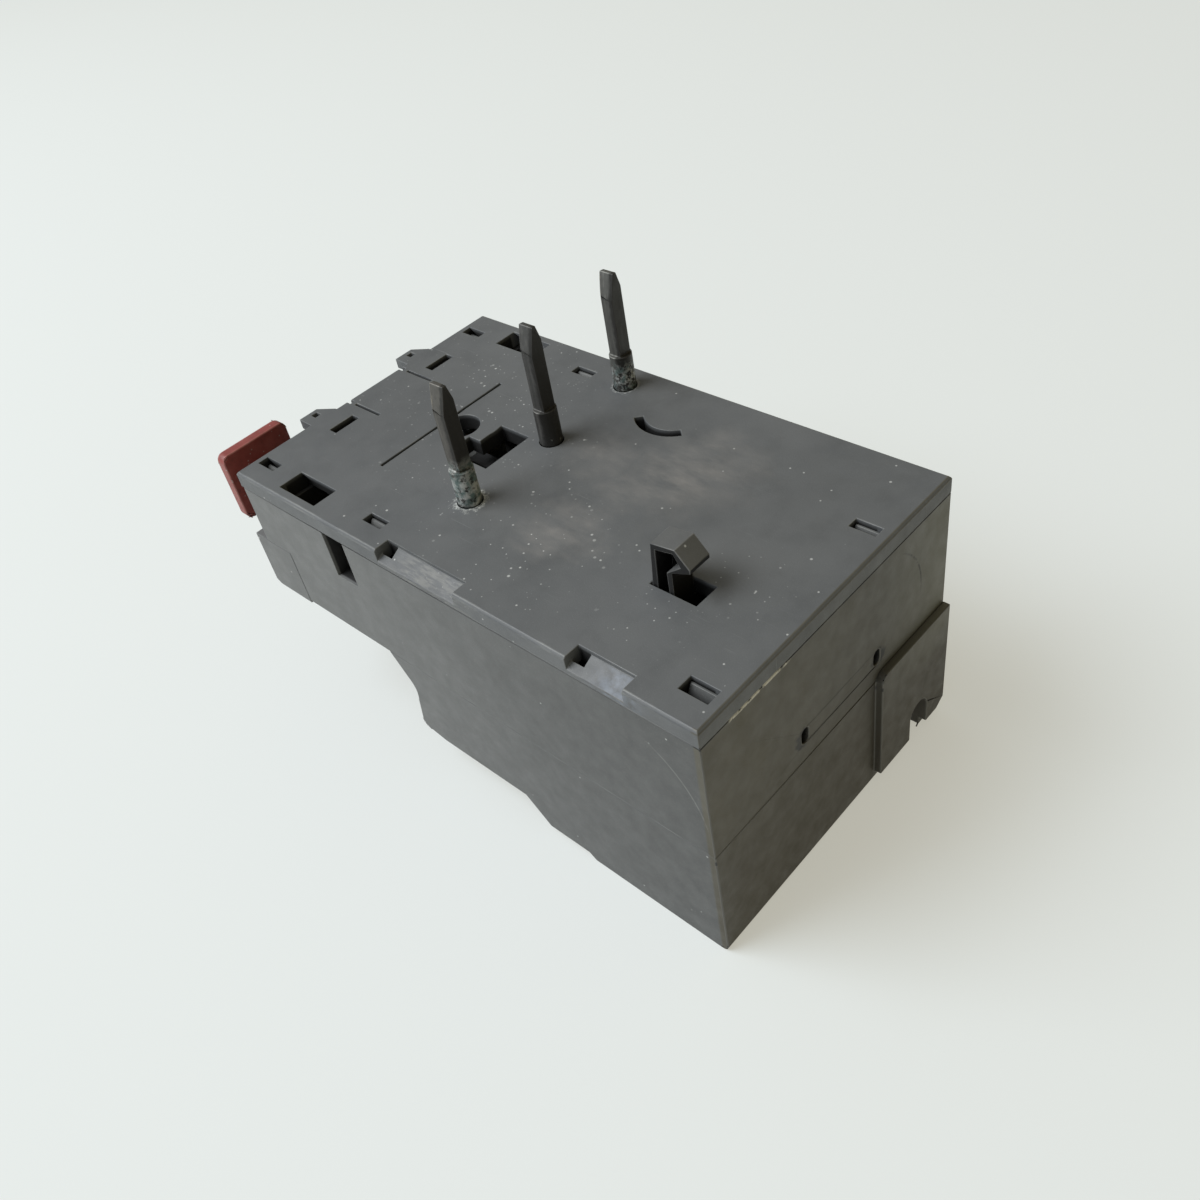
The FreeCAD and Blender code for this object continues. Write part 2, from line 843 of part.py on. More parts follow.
def hook_latch():
    """A hollow hook whose beak slopes down to the rear, on a foot that the plate holds down."""
    x = front + hook_from_front + fit_gap
    y = (hook_hole_y()[0] + fit_gap, hook_hole_y()[1] - fit_gap)
    beak = hook_height - hook_beak_drop
    outline = [
        (x, -plate_thickness),
        (x + 0.7, hook_height - 0.5),
        (x + hook_top, hook_height),
        (x + hook_reach, beak),
        (x + hook_reach, beak - hook_beak_edge),
        (x + hook_stem, hook_throat),
        (x + hook_stem - fit_gap, -plate_thickness),
    ]
    hollow = [
        (x + hook_skin, -plate_thickness - hook_foot_thickness - 1),
        (x + hook_skin + 0.6, hook_height - 0.5 - hook_skin),
        (x + hook_top - 0.3, hook_height - hook_skin),
        (x + hook_reach - 1.3, beak - 0.2),
        (x + hook_stem - hook_skin, hook_throat - 0.2),
        (x + hook_stem - hook_skin, -plate_thickness - hook_foot_thickness - 1),
    ]
    foot_y = (y[0] - hook_foot[1], y[1] + hook_foot[1])
    foot = box(hook_foot_x(), foot_y, (-plate_thickness - hook_foot_thickness, -plate_thickness))
    body = join(prism("y", outline, y), foot)
    return less(body, prism("y", hollow, (foot_y[0] - 1, y[1] - hook_skin)))


# ---- power path ----

def strap_top():
    return under(strap_drop)


def line_pin(k):
    """A pin that is round at its root, with two flats that meet in a ridge, and a bevelled nose."""
    y = pin_y(k)
    top = pin_length
    blade_radius = pin_radius - pin_blade_step
    low, high = y - pin_flat_y, y + blade_radius + 0.1
    nose = [
        (low, pin_round_length),
        (low, top - pin_bevel_length),
        (low + pin_bevel_rise, top),
        (y + pin_nose_crest, top),
        (high, top - pin_nose_length),
        (high, pin_round_length),
    ]
    shaft = rod("z", blade_radius, (0, top), (0, y))
    blade = shaft.common(prism("x", nose, (-pin_radius - 1, pin_flat_x)))
    root = rod("z", pin_radius, (0, pin_round_length), (0, y))
    shank = rod("z", pin_shank_radius, (strap_top(), 0), (0, y))
    collar_z = (under(pin_collar_thickness), -plate_thickness)
    collar = box(about(0, pin_collar), about(y, pin_collar), collar_z)
    return join(blade, root, shank, collar)


def line_strap(k):
    """Flat strap from under the pin to the winding's upper lead."""
    x = (-strap_overhang, front + strip_from_front + strip_width / 2 + lead_width / 2)
    return box(x, about(pin_y(k), strap_width), (strap_top() - strap_thickness, strap_top()))


def bimetal_strip(k):
    x = span(front + strip_from_front, strip_width)
    return box(x, about(pole_y(k), strip_thickness), (-strip_foot_depth, under(strip_tip_drop)))


def sleeve_y(k):
    return about(pole_y(k), strip_thickness + 2 * (sleeve_gap + sleeve_wall))


def sleeve_x():
    grown = sleeve_gap + sleeve_wall
    return (front + strip_from_front - grown, front + strip_from_front + strip_width + grown)


def heater_sleeve(k):
    outer = box(sleeve_x(), sleeve_y(k), (-sleeve_foot_depth, strap_top() - strap_thickness))
    inner_x = (sleeve_x()[0] + sleeve_wall, sleeve_x()[1] - sleeve_wall)
    inner_y = (sleeve_y(k)[0] + sleeve_wall, sleeve_y(k)[1] - sleeve_wall)
    return outer.cut(box(inner_x, inner_y, (-foot_depth, 0)))


def heater_winding(k):
    """Flat ribbon wound round the sleeve, one rising side in each turn, with a lead at each end."""
    x, y = sleeve_x(), sleeve_y(k)
    x = (x[0] - fit_gap / 2, x[1] + fit_gap / 2)
    y = (y[0] - fit_gap / 2, y[1] + fit_gap / 2)
    t = ribbon_thickness
    first = strap_top() - strap_thickness - winding_drop
    pieces = []
    for turn in range(winding_turns):
        top = first - turn * winding_pitch
        z = (top - ribbon_height, top)
        drop = winding_pitch
        pieces.append(box((x[0] - t, x[1] + t), (y[1], y[1] + t), z))
        pieces.append(box((x[0] - t, x[0]), (y[0] - t, y[1] + t), z))
        pieces.append(box((x[1], x[1] + t), (y[0] - t, y[1] + t), z))
        if turn < winding_turns - 1:
            rise = [
                (x[0] - t, z[0]),
                (x[0] - t, z[1]),
                (x[0], z[1]),
                (x[1], z[1] - drop),
                (x[1] + t, z[1] - drop),
                (x[1] + t, z[0] - drop),
                (x[1], z[0] - drop),
                (x[0], z[0]),
            ]
            pieces.append(prism("y", rise, (y[0] - t, y[0])))
    centre = front + strip_from_front + strip_width / 2
    lead_x = about(centre, lead_width)
    pieces.append(box(lead_x, (y[1], pin_y(k)), (first - ribbon_height / 2, strap_top() - strap_thickness)))
    last = first - (winding_turns - 1) * winding_pitch
    strip_face = pole_y(k) + strip_thickness / 2
    pieces.append(box(lead_x, (y[1], y[1] + t), (-sleeve_foot_depth - ribbon_height, last)))
    lower_z = (-sleeve_foot_depth - ribbon_height, -sleeve_foot_depth)
    pieces.append(box(lead_x, (strip_face, y[1] + t), lower_z))
    return join(*pieces)


def load_plate_x():
    low = front + load_head_from_front + load_head_thickness + load_saddle_thickness + load_wire_gap
    return span(low, load_plate_thickness)


def load_wire_x():
    return load_plate_x()[0] - load_wire_gap / 2


def load_leg_x():
    low = front + chamber_wall_from_front + inner_wall + 0.8
    return span(low, load_plate_thickness)


def load_strap(k):
    """Bent bar from the bimetal strip's foot, over the chamber wall, to the load terminal's plate."""
    plate_x, leg_x = load_plate_x(), load_leg_x()
    top = -load_bridge_depth
    plate = box(plate_x, about(pole_y(k), load_plate_width), (-load_plate_foot_depth, top))
    bridge_z = (top - load_plate_thickness, top)
    bridge = box((plate_x[0], leg_x[1]), about(pole_y(k), load_bridge_width), bridge_z)
    leg_y = about(pole_y(k), load_leg_width)
    leg = box(leg_x, leg_y, (-strip_foot_depth - load_plate_thickness, top))
    foot_x = (leg_x[0], front + strip_from_front + strip_width + 1)
    foot = box(foot_x, leg_y, (-strip_foot_depth - load_plate_thickness, -strip_foot_depth))
    at = (pole_y(k), -load_screw_depth)
    boss = box(span(plate_x[1], load_boss_length), about(at[0], load_boss), about(at[1], load_boss))
    bore = rod("x", load_screw_radius + running_gap, (plate_x[0] - 1, plate_x[1] + load_boss_length + 1), at)
    return less(join(plate, bridge, leg, foot, boss), bore)


def slotted_screw(x, end, at, head_radius, head_thickness, radius):
    """A screw along X with a slotted head, which faces the front."""
    head = rod("x", head_radius, span(x, head_thickness), at)
    shank = rod("x", radius, (x + head_thickness, end), at)
    width, depth = head_radius * 0.3, head_thickness * 0.45
    slot = box((x - 1, x + depth), about(at[0], 3 * head_radius), about(at[1], width))
    return less(join(head, shank), slot)


def saddle(x, thickness, size, at, half_slot):
    """A clamping plate under a screw's head, slotted from below so that it drops over the shank."""
    plate = box(span(x, thickness), about(at[0], size), about(at[1], size))
    slot = box((x - 1, x + thickness + 1), about(at[0], 2 * half_slot), (at[1] - size, at[1] + half_slot))
    return plate.cut(slot)


def load_screw(k):
    at = (pole_y(k), -load_screw_depth)
    end = load_plate_x()[1] + load_boss_length + 0.6
    x = front + load_head_from_front
    return slotted_screw(x, end, at, load_head_radius, load_head_thickness, load_screw_radius)


def load_saddle_plate(k):
    x = front + load_head_from_front + load_head_thickness
    at = (pole_y(k), -load_screw_depth)
    return saddle(x, load_saddle_thickness, load_saddle, at, load_screw_radius + fit_gap)


# ---- auxiliary terminals ----

def aux_inner():
    """The block's inner width, between the case's side walls."""
    return (near + wall + fit_gap, far - wall - fit_gap)


def aux_y(n):
    low, high = aux_inner()
    return low + (n + 0.5) * (high - low) / aux_count


def aux_screw_place(n):
    return (aux_y(n), aux_top() - aux_screw_drop)


def aux_plate_x():
    low = front + aux_head_from_front + aux_head_thickness + aux_saddle_thickness + aux_wire_gap
    return span(low, aux_plate_thickness)


def aux_block():
    """Auxiliary terminal block: full width in front, with a tongue between the case's walls below."""
    lip_x = front + aux_collar - fit_gap
    x0, top, bottom = front - aux_reach, aux_top(), -aux_depth
    r = aux_corner_radius
    outline = [
        (x0, top),
        (x0, bottom + r),
        ((x0 + 0.3 * r, bottom + 0.3 * r), (x0 + r, bottom)),
        (lip_x, bottom),
        (lip_x, top),
    ]
    face = prism("y", outline, (near, far))
    tongue_x = (lip_x, front + mechanism_wall_from_front - fit_gap)
    tongue = box(tongue_x, aux_inner(), (-seam_depth, top))
    post = rod("z", rocker_post_radius, (top, under(rocker_level[0])), rocker_centre())
    cuts = []
    for n in range(aux_count):
        y = aux_y(n)
        cavity_x = span(front + aux_head_from_front - 0.4, aux_cavity[0])
        cuts.append(box(cavity_x, about(y, aux_cavity[1]), (bottom - 1, top - aux_roof)))
        cuts.append(rod("x", aux_hole_radius, (x0 - 1, cavity_x[0] + 1), aux_screw_place(n)))
        slot_x = (aux_plate_x()[0] - fit_gap, aux_plate_x()[1] + fit_gap)
        cuts.append(box(slot_x, about(y, aux_tongue_width + 2 * fit_gap), (top - 2, top + 1)))
    for n in range(1, aux_count):
        y = (aux_y(n - 1) + aux_y(n)) / 2
        cuts.append(box((x0 - 1, x0 + aux_groove[1]), about(y, aux_groove[0]), (bottom - 1, top + 1)))
    return less(join(face, tongue, post), *cuts)


def contact_tip_pad(x, y):
    """A square contact tip between two X values, at mid height of the contact arms."""
    return box(x, about(y, contact_tip), about(under(sum(contact_level) / 2), contact_tip))


def aux_terminal(n):
    """Threaded plate with a tongue up into the mechanism, which ends in a fixed contact or an arm's post."""
    x, y = aux_plate_x(), aux_y(n)
    plate_top = aux_top() - aux_roof - fit_gap
    plate = box(x, about(y, aux_plate_width), (-aux_depth + 1.6, plate_top))
    bore = rod("x", aux_screw_radius + running_gap, (x[0] - 1, x[1] + 1), aux_screw_place(n))
    if n in (0, aux_count - 1):
        tongue = box(x, about(y, aux_tongue_width), (plate_top, under(contact_level[0])))
        tip = contact_tip_pad(span(x[1], contact_tip_height), y)
        return less(join(plate, tongue, tip), bore)
    post_x = front + (near_post_from_front if n == 1 else far_post_from_front)
    foot_top = under(contact_level[1] + contact_foot_gap)
    tongue = box(x, about(y, aux_tongue_width), (plate_top, foot_top))
    foot_x = (x[0], post_x + contact_post_radius)
    foot = box(foot_x, about(y, 2 * contact_post_radius), (foot_top - 1, foot_top))
    post = rod("z", contact_post_radius, (foot_top, under(rocker_level[1] + slide_gap)), (post_x, y))
    return less(join(plate, tongue, foot, post), bore)


def aux_screw(n):
    end = aux_plate_x()[1] + 0.9
    x = front + aux_head_from_front
    return slotted_screw(x, end, aux_screw_place(n), aux_head_radius, aux_head_thickness, aux_screw_radius)


def aux_saddle_plate(n):
    x = front + aux_head_from_front + aux_head_thickness
    at = aux_screw_place(n)
    plate = saddle(x, aux_saddle_thickness, aux_saddle, at, aux_screw_radius + fit_gap)
    room_z = (-aux_depth, aux_top() - aux_roof - fit_gap)
    return plate.common(box((x - 1, x + 2), about(at[0], aux_saddle), room_z))


# ---- trip mechanism ----

def rocker_centre():
    return (front + rocker_from_front, middle + rocker_side)


def finger_down(at):
    """A finger under the rocker that reaches down beside a contact arm or the trip lever."""
    x, y = about(at[0], finger[0]), about(at[1], finger[1])
    return box(x, y, (under(contact_level[1]), under(rocker_level[1])))


def near_finger():
    return (front + near_finger_from_front, aux_y(1) - near_finger_from_post)


def far_finger():
    return (front + far_finger_from_front, aux_y(2) + far_finger_from_post)


def rocker_tail():
    return (front + tail_from_front, rocker_centre()[1])


def reset_ear():
    return (front + reset_ear_from_front, reset_y() + reset_ear_side)


def flag_seat():
    return (front + flag_from_front + flag_size[0] / 2, middle + flag_side)


def trip_rocker():
    """The snap rocker: arms to both contact arms, the flag, the reset rod and the trip lever, on one hub."""
    heights = level(rocker_level)
    centre = rocker_centre()
    ends = (near_finger(), reset_ear(), rocker_tail())
    arms = [strip(centre, end, rocker_arm_width, heights) for end in ends]
    arms.append(strip(centre, flag_seat(), 1.4, heights))
    arms.append(strip(reset_ear(), far_finger(), 1.6, heights))
    foot = aux_top() + rocker_foot_gap
    hub = rod("z", rocker_hub_radius, (foot, under(rocker_level[0])), centre)
    fingers = [finger_down(at) for at in (near_finger(), far_finger(), rocker_tail())]
    bore = rod("z", rocker_post_radius + running_gap, (foot - 1, 0), centre)
    return less(join(hub, *arms, *fingers), bore)


def trip_flag():
    x, y = flag_seat()
    top = under(rocker_level[1])
    return box(about(x, flag_size[0]), about(y, flag_size[1]), (top - flag_size[2], top))


def contact_arm(post, tip, tip_x):
    """A stiff contact arm with an eye round its post and a contact tip at its end."""
    heights = level(contact_level)
    eye = rod("z", contact_eye_radius, heights, post)
    blade = box(about(post[0], contact_arm_thickness), (post[1], tip), heights)
    pad = contact_tip_pad(tip_x, tip)
    bore = rod("z", contact_post_radius + running_gap, (-foot_depth, 0), post)
    return less(join(eye, blade, pad), bore)


def fixed_contact_face():
    return aux_plate_x()[1] + contact_tip_height


def nc_contact_arm():
    post = (front + near_post_from_front, aux_y(1))
    return contact_arm(post, aux_y(0), (fixed_contact_face() + running_gap, post[0]))


def no_contact_arm():
    post = (front + far_post_from_front, aux_y(2))
    tip_x = (post[0] - contact_arm_thickness / 2 - contact_tip_height, post[0])
    return contact_arm(post, aux_y(3), tip_x)


def trip_lever():
    """The lever on the plate's post: a front arm to the rocker, and a clip for the strip behind."""
    centre = lever_centre()
    heights = level(contact_level)
    tail = rocker_tail()
    tip = (tail[0], tail[1] - finger[1] / 2 - slide_gap - lever_arm_width / 2)
    hub = rod("z", lever_hub_radius, heights, centre)
    arm = bar(centre, tip, lever_arm_width, heights)
    clip_x = (centre[0], centre[0] + lever_hub_radius + compensator_clip)
    clip = box(clip_x, about(centre[1], compensator_thickness + 1.6), heights)
    bore = rod("z", lever_post_radius + running_gap, (-foot_depth, 0), centre)
    slot_x = (centre[0] + lever_hub_radius + 0.3, clip_x[1] + 1)
    slot = box(slot_x, about(centre[1], compensator_thickness), (-foot_depth, 0))
    return less(join(hub, arm, clip), bore, slot)


def compensating_strip():
    """Second bimetal strip, which cancels the heat of the room, and carries the slides' push to the lever."""
    centre = lever_centre()
    x = (centre[0] + lever_hub_radius + 0.3, front + lever_nose_from_front + lever_nose_half_width)
    return box(x, about(centre[1], compensator_thickness), level(contact_level))


def slide_plate(levels, inset, low_gap):
    """A bar across the poles with one window for each bimetal strip's tip."""
    x = span(front + slide_front_from_front, slide_length_x)
    x = (x[0] + inset, x[1] - inset)
    y = (pole_y(0) - slide_near_reach, pole_y(pole_count - 1) + slide_far_reach)
    plate = box(x, y, level(levels))
    strip_x = front + strip_from_front
    window_x = (strip_x - slide_window_gap, strip_x + strip_width + slide_window_gap)
    windows = []
    for k in poles:
        low = pole_y(k) - strip_thickness / 2 - low_gap
        high = pole_y(k) + strip_thickness / 2 + trip_travel + slide_gap
        windows.append(box(window_x, (low, high), (-foot_depth, 0)))
    return plate, windows


def link_place(from_front):
    return (front + from_front, middle + link_side)


def link_arm(levels, from_front, edge):
    """An arm from a slide's front edge, with a post up into the differential lever."""
    x, y = link_place(from_front)
    arm = box((x - link_width / 2, edge), about(y, link_width), level(levels))
    post = rod("z", link_post_radius, (under(levels[0]), under(lever_level[0])), (x, y))
    return arm, post


def trip_slide():
    plate, windows = slide_plate(trip_slide_level, 0, slide_gap)
    edge = front + slide_front_from_front + 0.5
    arm, post = link_arm(trip_slide_level, trip_post_from_front, edge)
    x, y = link_place(differential_post_from_front)
    clear = 2 * (link_post_radius + slide_gap)
    gate_y = (y - clear / 2, y + clear / 2 + differential_travel)
    gate = box(about(x, clear), gate_y, (under(trip_slide_level[1]) - 1, under(trip_slide_level[0]) + 1))
    return less(join(plate, arm, post), gate, *windows)


def differential_slide():
    plate, windows = slide_plate(differential_level, step_shoulder, differential_travel + slide_gap)
    edge = front + slide_front_from_front + step_shoulder + 0.5
    arm, post = link_arm(differential_level, differential_post_from_front, edge)
    return less(join(plate, arm, post), *windows)


def differential_lever():
    """The lever that adds the difference of the two slides, with a nose beside the compensating strip."""
    heights = level(lever_level)
    pivot = link_place(trip_post_from_front)
    link_end = link_place(differential_post_from_front)
    nose_x = front + nose_from_front
    strip_face = lever_centre()[1] + compensator_thickness / 2
    nose_y = span(strip_face + compensator_gap, 1.5)
    nose = (nose_x, sum(nose_y) / 2)
    rear_arm = strip(pivot, link_end, link_lever_width, heights)
    front_arm = strip(pivot, nose, 1.6, heights)
    tip = box(about(nose_x, 1.4), nose_y, (under(contact_level[1]) + 0.4, heights[0]))
    bore = rod("z", link_post_radius + running_gap, (-foot_depth, 0), pivot)
    slot_x = about(link_end[0], 2 * link_post_radius + 0.3)
    slot = box(slot_x, about(link_end[1], 2 * link_post_radius + 0.1), (-foot_depth, 0))
    return less(join(rear_arm, front_arm, tip), bore, slot)


# ---- operator's front ----

def cap(x, y, z, chamfer):
    """A button cap with its front edges chamfered and its upright edges rounded off."""
    block = box(x, y, z)
    face_edges = [e for e in block.Edges if all(abs(v.X - x[0]) < 1e-6 for v in e.Vertexes)]
    return block.makeChamfer(chamfer, face_edges)


def stop_stem_section(gap):
    """Y and Z ranges of the stop button's stem, grown by a gap."""
    y = near + stop_stem_from_near
    top = under(stop_stem_drop)
    return (y - gap, y + stop_stem[0] + gap), (top - stop_stem[1] - gap, top + gap)


def rounded_plate(x, y, z, r):
    """A plate square to X with its four corners rounded."""
    k = r * (1 - math.sqrt(0.5))
    outline = [
        (y[1] - r, z[0]),
        ((y[1] - k, z[0] + k), (y[1], z[0] + r)),
        (y[1], z[1] - r),
        ((y[1] - k, z[1] - k), (y[1] - r, z[1])),
        (y[0] + r, z[1]),
        ((y[0] + k, z[1] - k), (y[0], z[1] - r)),
        (y[0], z[0] + r),
        ((y[0] + k, z[0] + k), (y[0] + r, z[0])),
    ]
    return prism("x", outline, x)


def stop_button():
    """The red stop button: a thin rounded flange on an off-centre stem."""
    x = span(front - stop_flange_reach, stop_flange_thickness)
    y = span(near + stop_flange_from_near, stop_flange[0])
    z = (-stop_flange_top_depth - stop_flange[1], -stop_flange_top_depth)
    flange = rounded_plate(x, y, z, stop_flange_corner)
    rim = [e for e in flange.Edges if all(abs(v.X - x[0]) < 1e-6 for v in e.Vertexes)]
    flange = flange.makeChamfer(stop_flange_chamfer, rim)
    stem_y, stem_z = stop_stem_section(0)
    stem = box((x[1] - 0.5, front + wall + slide_gap), stem_y, stem_z)
    return join(flange, stem)


def stop_shoe_x():
    return span(front + wall + slide_gap, stop_shoe_thickness)


def stop_plunger():
    """The dark shoe that keeps the stop button in its window, with a rod towards the contact arm."""
    stem_y, stem_z = stop_stem_section(stop_shoe_rim)
    shoe = box(stop_shoe_x(), stem_y, stem_z)
    rod_y = span(aux_y(0) + aux_tongue_width / 2 + slide_gap + 0.15, stop_rod[0])
    rod_x = (stop_shoe_x()[0] + 0.2, front + stop_rod_end)
    push = box(rod_x, rod_y, about(under(sum(contact_level) / 2), stop_rod[1]))
    return join(shoe, push)


def reset_button():
    z = (under(reset_cap_drop + reset_cap_height), under(reset_cap_drop))
    head = cap((front - reset_cap_reach, front + 1), about(reset_y(), reset_cap_width), z, 0.5)
    stem = box((front + 0.5, front + reset_stem_end), about(reset_y(), reset_cap_width), z)
    lip_x = (front + wall + slide_gap, front + reset_stem_end)
    lip = box(lip_x, about(reset_y(), reset_cap_width + 1.2), z)
    rod_x = (front + reset_stem_end - 0.5, front + reset_rod_end)
    push = box(rod_x, about(reset_y() + reset_rod_side, reset_rod_width), level(rocker_level))
    return join(head, stem, lip, push)


def coil_spring(x, y, z):
    """A compression spring along X, bent from square wire in short straight runs."""
    mean = spring_radius - spring_wire / 2
    half = spring_wire / 2
    steps = spring_turns * spring_sides
    rise = (x[1] - x[0] - spring_wire) / steps
    points = []
    for i in range(steps + 1):
        a = 2 * math.pi * i / spring_sides
        points.append(FreeCAD.Vector(x[0] + half + i * rise, y + mean * math.cos(a), z + mean * math.sin(a)))
    path = Part.makePolygon(points)
    low, high = y + mean - half, y + mean + half
    corners = [(-half, low), (half, low), (half, high), (-half, high), (-half, low)]
    section = Part.makePolygon([FreeCAD.Vector(points[0].x + u, v, z) for u, v in corners])
    return path.makePipeShell([section], True, True, 1)


def setting_dial():
    """The current setting dial, with a slot across its face and a cam at its inner end."""
    at = dial_place()
    face_x = front - dial_proud
    disc = rod("x", dial_radius, span(face_x, dial_thickness), at)
    bridge_end = front + bearing_from_front + bearing_thickness
    spindle = rod("x", dial_spindle_radius, (face_x + dial_thickness, bridge_end + slide_gap), at)
    cam_x = span(bridge_end + slide_gap, dial_cam_length)
    cam = rod("x", dial_cam_radius, cam_x, (at[0], at[1] + dial_cam_offset))
    width, length, depth = dial_slot
    slot = box((face_x - 1, face_x + depth), about(at[0], width), about(at[1], length))
    pointer = prism("x", [
        (at[0] - 0.9, at[1] + length / 2),
        (at[0], at[1] + length / 2 + 0.9),
        (at[0] + 0.9, at[1] + length / 2),
    ], (face_x - 1, face_x + depth / 2))
    return less(join(disc, spindle, cam), slot, pointer)


def mode_selector():
    """The hand or automatic reset selector."""
    at = selector_place()
    face_x = front - selector_proud
    disc = rod("x", selector_radius, span(face_x, selector_thickness), at)
    end = front + bearing_from_front + bearing_thickness
    spindle = rod("x", selector_spindle_radius, (face_x + selector_thickness, end + slide_gap), at)
    collar = box(span(end + slide_gap, 0.8), about(at[0], 2.2), about(at[1], 2.2))
    slot = box((face_x - 1, face_x + 0.6), about(at[0], 0.6), about(at[1], 2.6))
    return less(join(disc, spindle, collar), slot)


def dial_cover():
    """The clear cover over the dial, with two stub pins in the ears under it."""
    x = (front - cover_front, front - cover_front + cover_thickness)
    y = span(middle + cover_side, cover_width)
    top = under(cover_drop)
    axis = cover_axis()
    plate = box(x, y, (axis[1] + 0.3, top))
    roll = box(about(axis[0], cover_roll), y, about(axis[1], cover_roll))
    reach = slide_gap + cover_pin_length
    pins = rod("y", cover_pin_radius, (y[0] - reach, y[1] + reach), axis)
    grip_top = top - cover_grip_drop
    grip_y = about(sum(y) / 2, cover_grip[1])
    grip = box((x[0] - cover_grip[0], x[0]), grip_y, (grip_top - cover_grip[2], grip_top))
    return join(plate, roll, pins, grip)


def main():
    os.makedirs("parts", exist_ok=True)
    save("pin_plate", pin_plate())
    save("upper_case", upper_case())
    save("lower_case", lower_case())
    save("aux_block", aux_block())
    save("hook_latch", hook_latch())
    for k in poles:
        save("line_pin_%d" % (k + 1), line_pin(k))
        save("line_strap_%d" % (k + 1), line_strap(k))
        save("bimetal_strip_%d" % (k + 1), bimetal_strip(k))
        save("heater_sleeve_%d" % (k + 1), heater_sleeve(k))
        save("heater_winding_%d" % (k + 1), heater_winding(k))
        save("load_strap_%d" % (k + 1), load_strap(k))
    save("load_screws", *[load_screw(k) for k in poles])
    save("load_saddles", *[load_saddle_plate(k) for k in poles])
    for n in range(aux_count):
        save("aux_terminal_%d" % (n + 1), aux_terminal(n))
    save("aux_screws", *[aux_screw(n) for n in range(aux_count)])
    save("aux_saddles", *[aux_saddle_plate(n) for n in range(aux_count)])
    save("trip_rocker", trip_rocker())
    save("trip_flag", trip_flag())
    save("nc_contact_arm", nc_contact_arm())
    save("no_contact_arm", no_contact_arm())
    save("trip_lever", trip_lever())
    save("compensating_strip", compensating_strip())
    save("trip_slide", trip_slide())
    save("differential_slide", differential_slide())
    save("differential_lever", differential_lever())
    save("stop_button", stop_button())
    save("stop_plunger", stop_plunger())
    seat_x = front + spring_seat_from_front
    stop_spring_z = sum(stop_stem_section(0)[1]) / 2
    stop_spring_x = (stop_shoe_x()[1], seat_x)
    save("stop_spring", coil_spring(stop_spring_x, near + stop_spring_from_near, stop_spring_z))
    save("reset_button", reset_button())
    reset_spring_x = (front + reset_stem_end, seat_x)
    reset_spring_z = under(reset_cap_drop + reset_cap_height / 2)
    save("reset_spring", coil_spring(reset_spring_x, far - reset_spring_from_far, reset_spring_z))
    save("setting_dial", setting_dial())
    save("mode_selector", mode_selector())
    save("dial_cover", dial_cover())


main()
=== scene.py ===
# %% [markdown]
# # A plug-in thermal overload relay, finished for rendering
# The relay's solid model is made elsewhere and loaded here as a fixed frame. Its sizes never change. This
# file gives it what a solid model lacks: rounded moulding edges, worn plastic, tarnished pins and dust.
# Everything is in metres. The origin is on the middle pin's axis, in the mounting face, with +Z along the
# pins.

import json
import math

import bpy
from mathutils import Matrix, Vector


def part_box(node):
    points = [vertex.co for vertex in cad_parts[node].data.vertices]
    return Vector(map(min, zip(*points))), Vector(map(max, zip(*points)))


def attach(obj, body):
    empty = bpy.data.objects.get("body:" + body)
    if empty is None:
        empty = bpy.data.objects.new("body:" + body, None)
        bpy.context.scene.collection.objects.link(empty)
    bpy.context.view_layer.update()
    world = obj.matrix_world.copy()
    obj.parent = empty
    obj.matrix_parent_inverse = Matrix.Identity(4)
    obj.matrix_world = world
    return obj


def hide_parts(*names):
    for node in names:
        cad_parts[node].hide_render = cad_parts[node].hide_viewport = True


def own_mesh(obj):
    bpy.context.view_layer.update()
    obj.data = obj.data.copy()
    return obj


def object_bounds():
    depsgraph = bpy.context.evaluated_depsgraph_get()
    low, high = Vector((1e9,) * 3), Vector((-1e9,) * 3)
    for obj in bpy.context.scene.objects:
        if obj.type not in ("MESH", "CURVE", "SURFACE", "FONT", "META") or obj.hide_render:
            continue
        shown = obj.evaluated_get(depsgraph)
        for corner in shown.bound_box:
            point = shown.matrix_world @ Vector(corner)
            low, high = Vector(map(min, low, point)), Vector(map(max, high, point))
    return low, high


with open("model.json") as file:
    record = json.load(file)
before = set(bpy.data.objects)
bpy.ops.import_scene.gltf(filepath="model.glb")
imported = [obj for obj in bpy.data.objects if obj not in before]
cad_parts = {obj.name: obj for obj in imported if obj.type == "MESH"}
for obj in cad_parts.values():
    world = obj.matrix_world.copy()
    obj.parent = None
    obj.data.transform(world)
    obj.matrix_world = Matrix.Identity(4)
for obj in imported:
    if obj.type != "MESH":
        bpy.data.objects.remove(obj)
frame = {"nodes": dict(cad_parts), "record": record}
cad_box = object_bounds()
MM = 0.001
nodes = frame["nodes"]
POLES = (1, 2, 3)
print("nodes:", len(nodes), "box:", cad_box)

# %% [markdown]
# ## Camera
# The relay is seen from above its rear corner, near enough for the long edges to converge. A camera looks
# along its own -Z, so its matrix is built from three directions: right, up and back.

# %% Camera
LENS = 33.787
EYE = Vector((92.12, -74.34, 79.02)) * MM
RIGHT = Vector((0.73147548, 0.66505775, -0.15047198))
UP = Vector((-0.37474106, 0.57645585, 0.72613208))
BACK = RIGHT.cross(UP)


def place_camera():
    data = bpy.data.cameras.new("camera")
    data.lens = LENS
    data.sensor_width = 36.0
    data.clip_start = 0.005
    camera = bpy.data.objects.new("camera", data)
    bpy.context.scene.collection.objects.link(camera)
    turn = Matrix((RIGHT, UP, BACK)).transposed()
    camera.matrix_world = Matrix.Translation(EYE) @ turn.to_4x4()
    bpy.context.scene.camera = camera
    return camera


camera = place_camera()
print("camera at", tuple(camera.location))

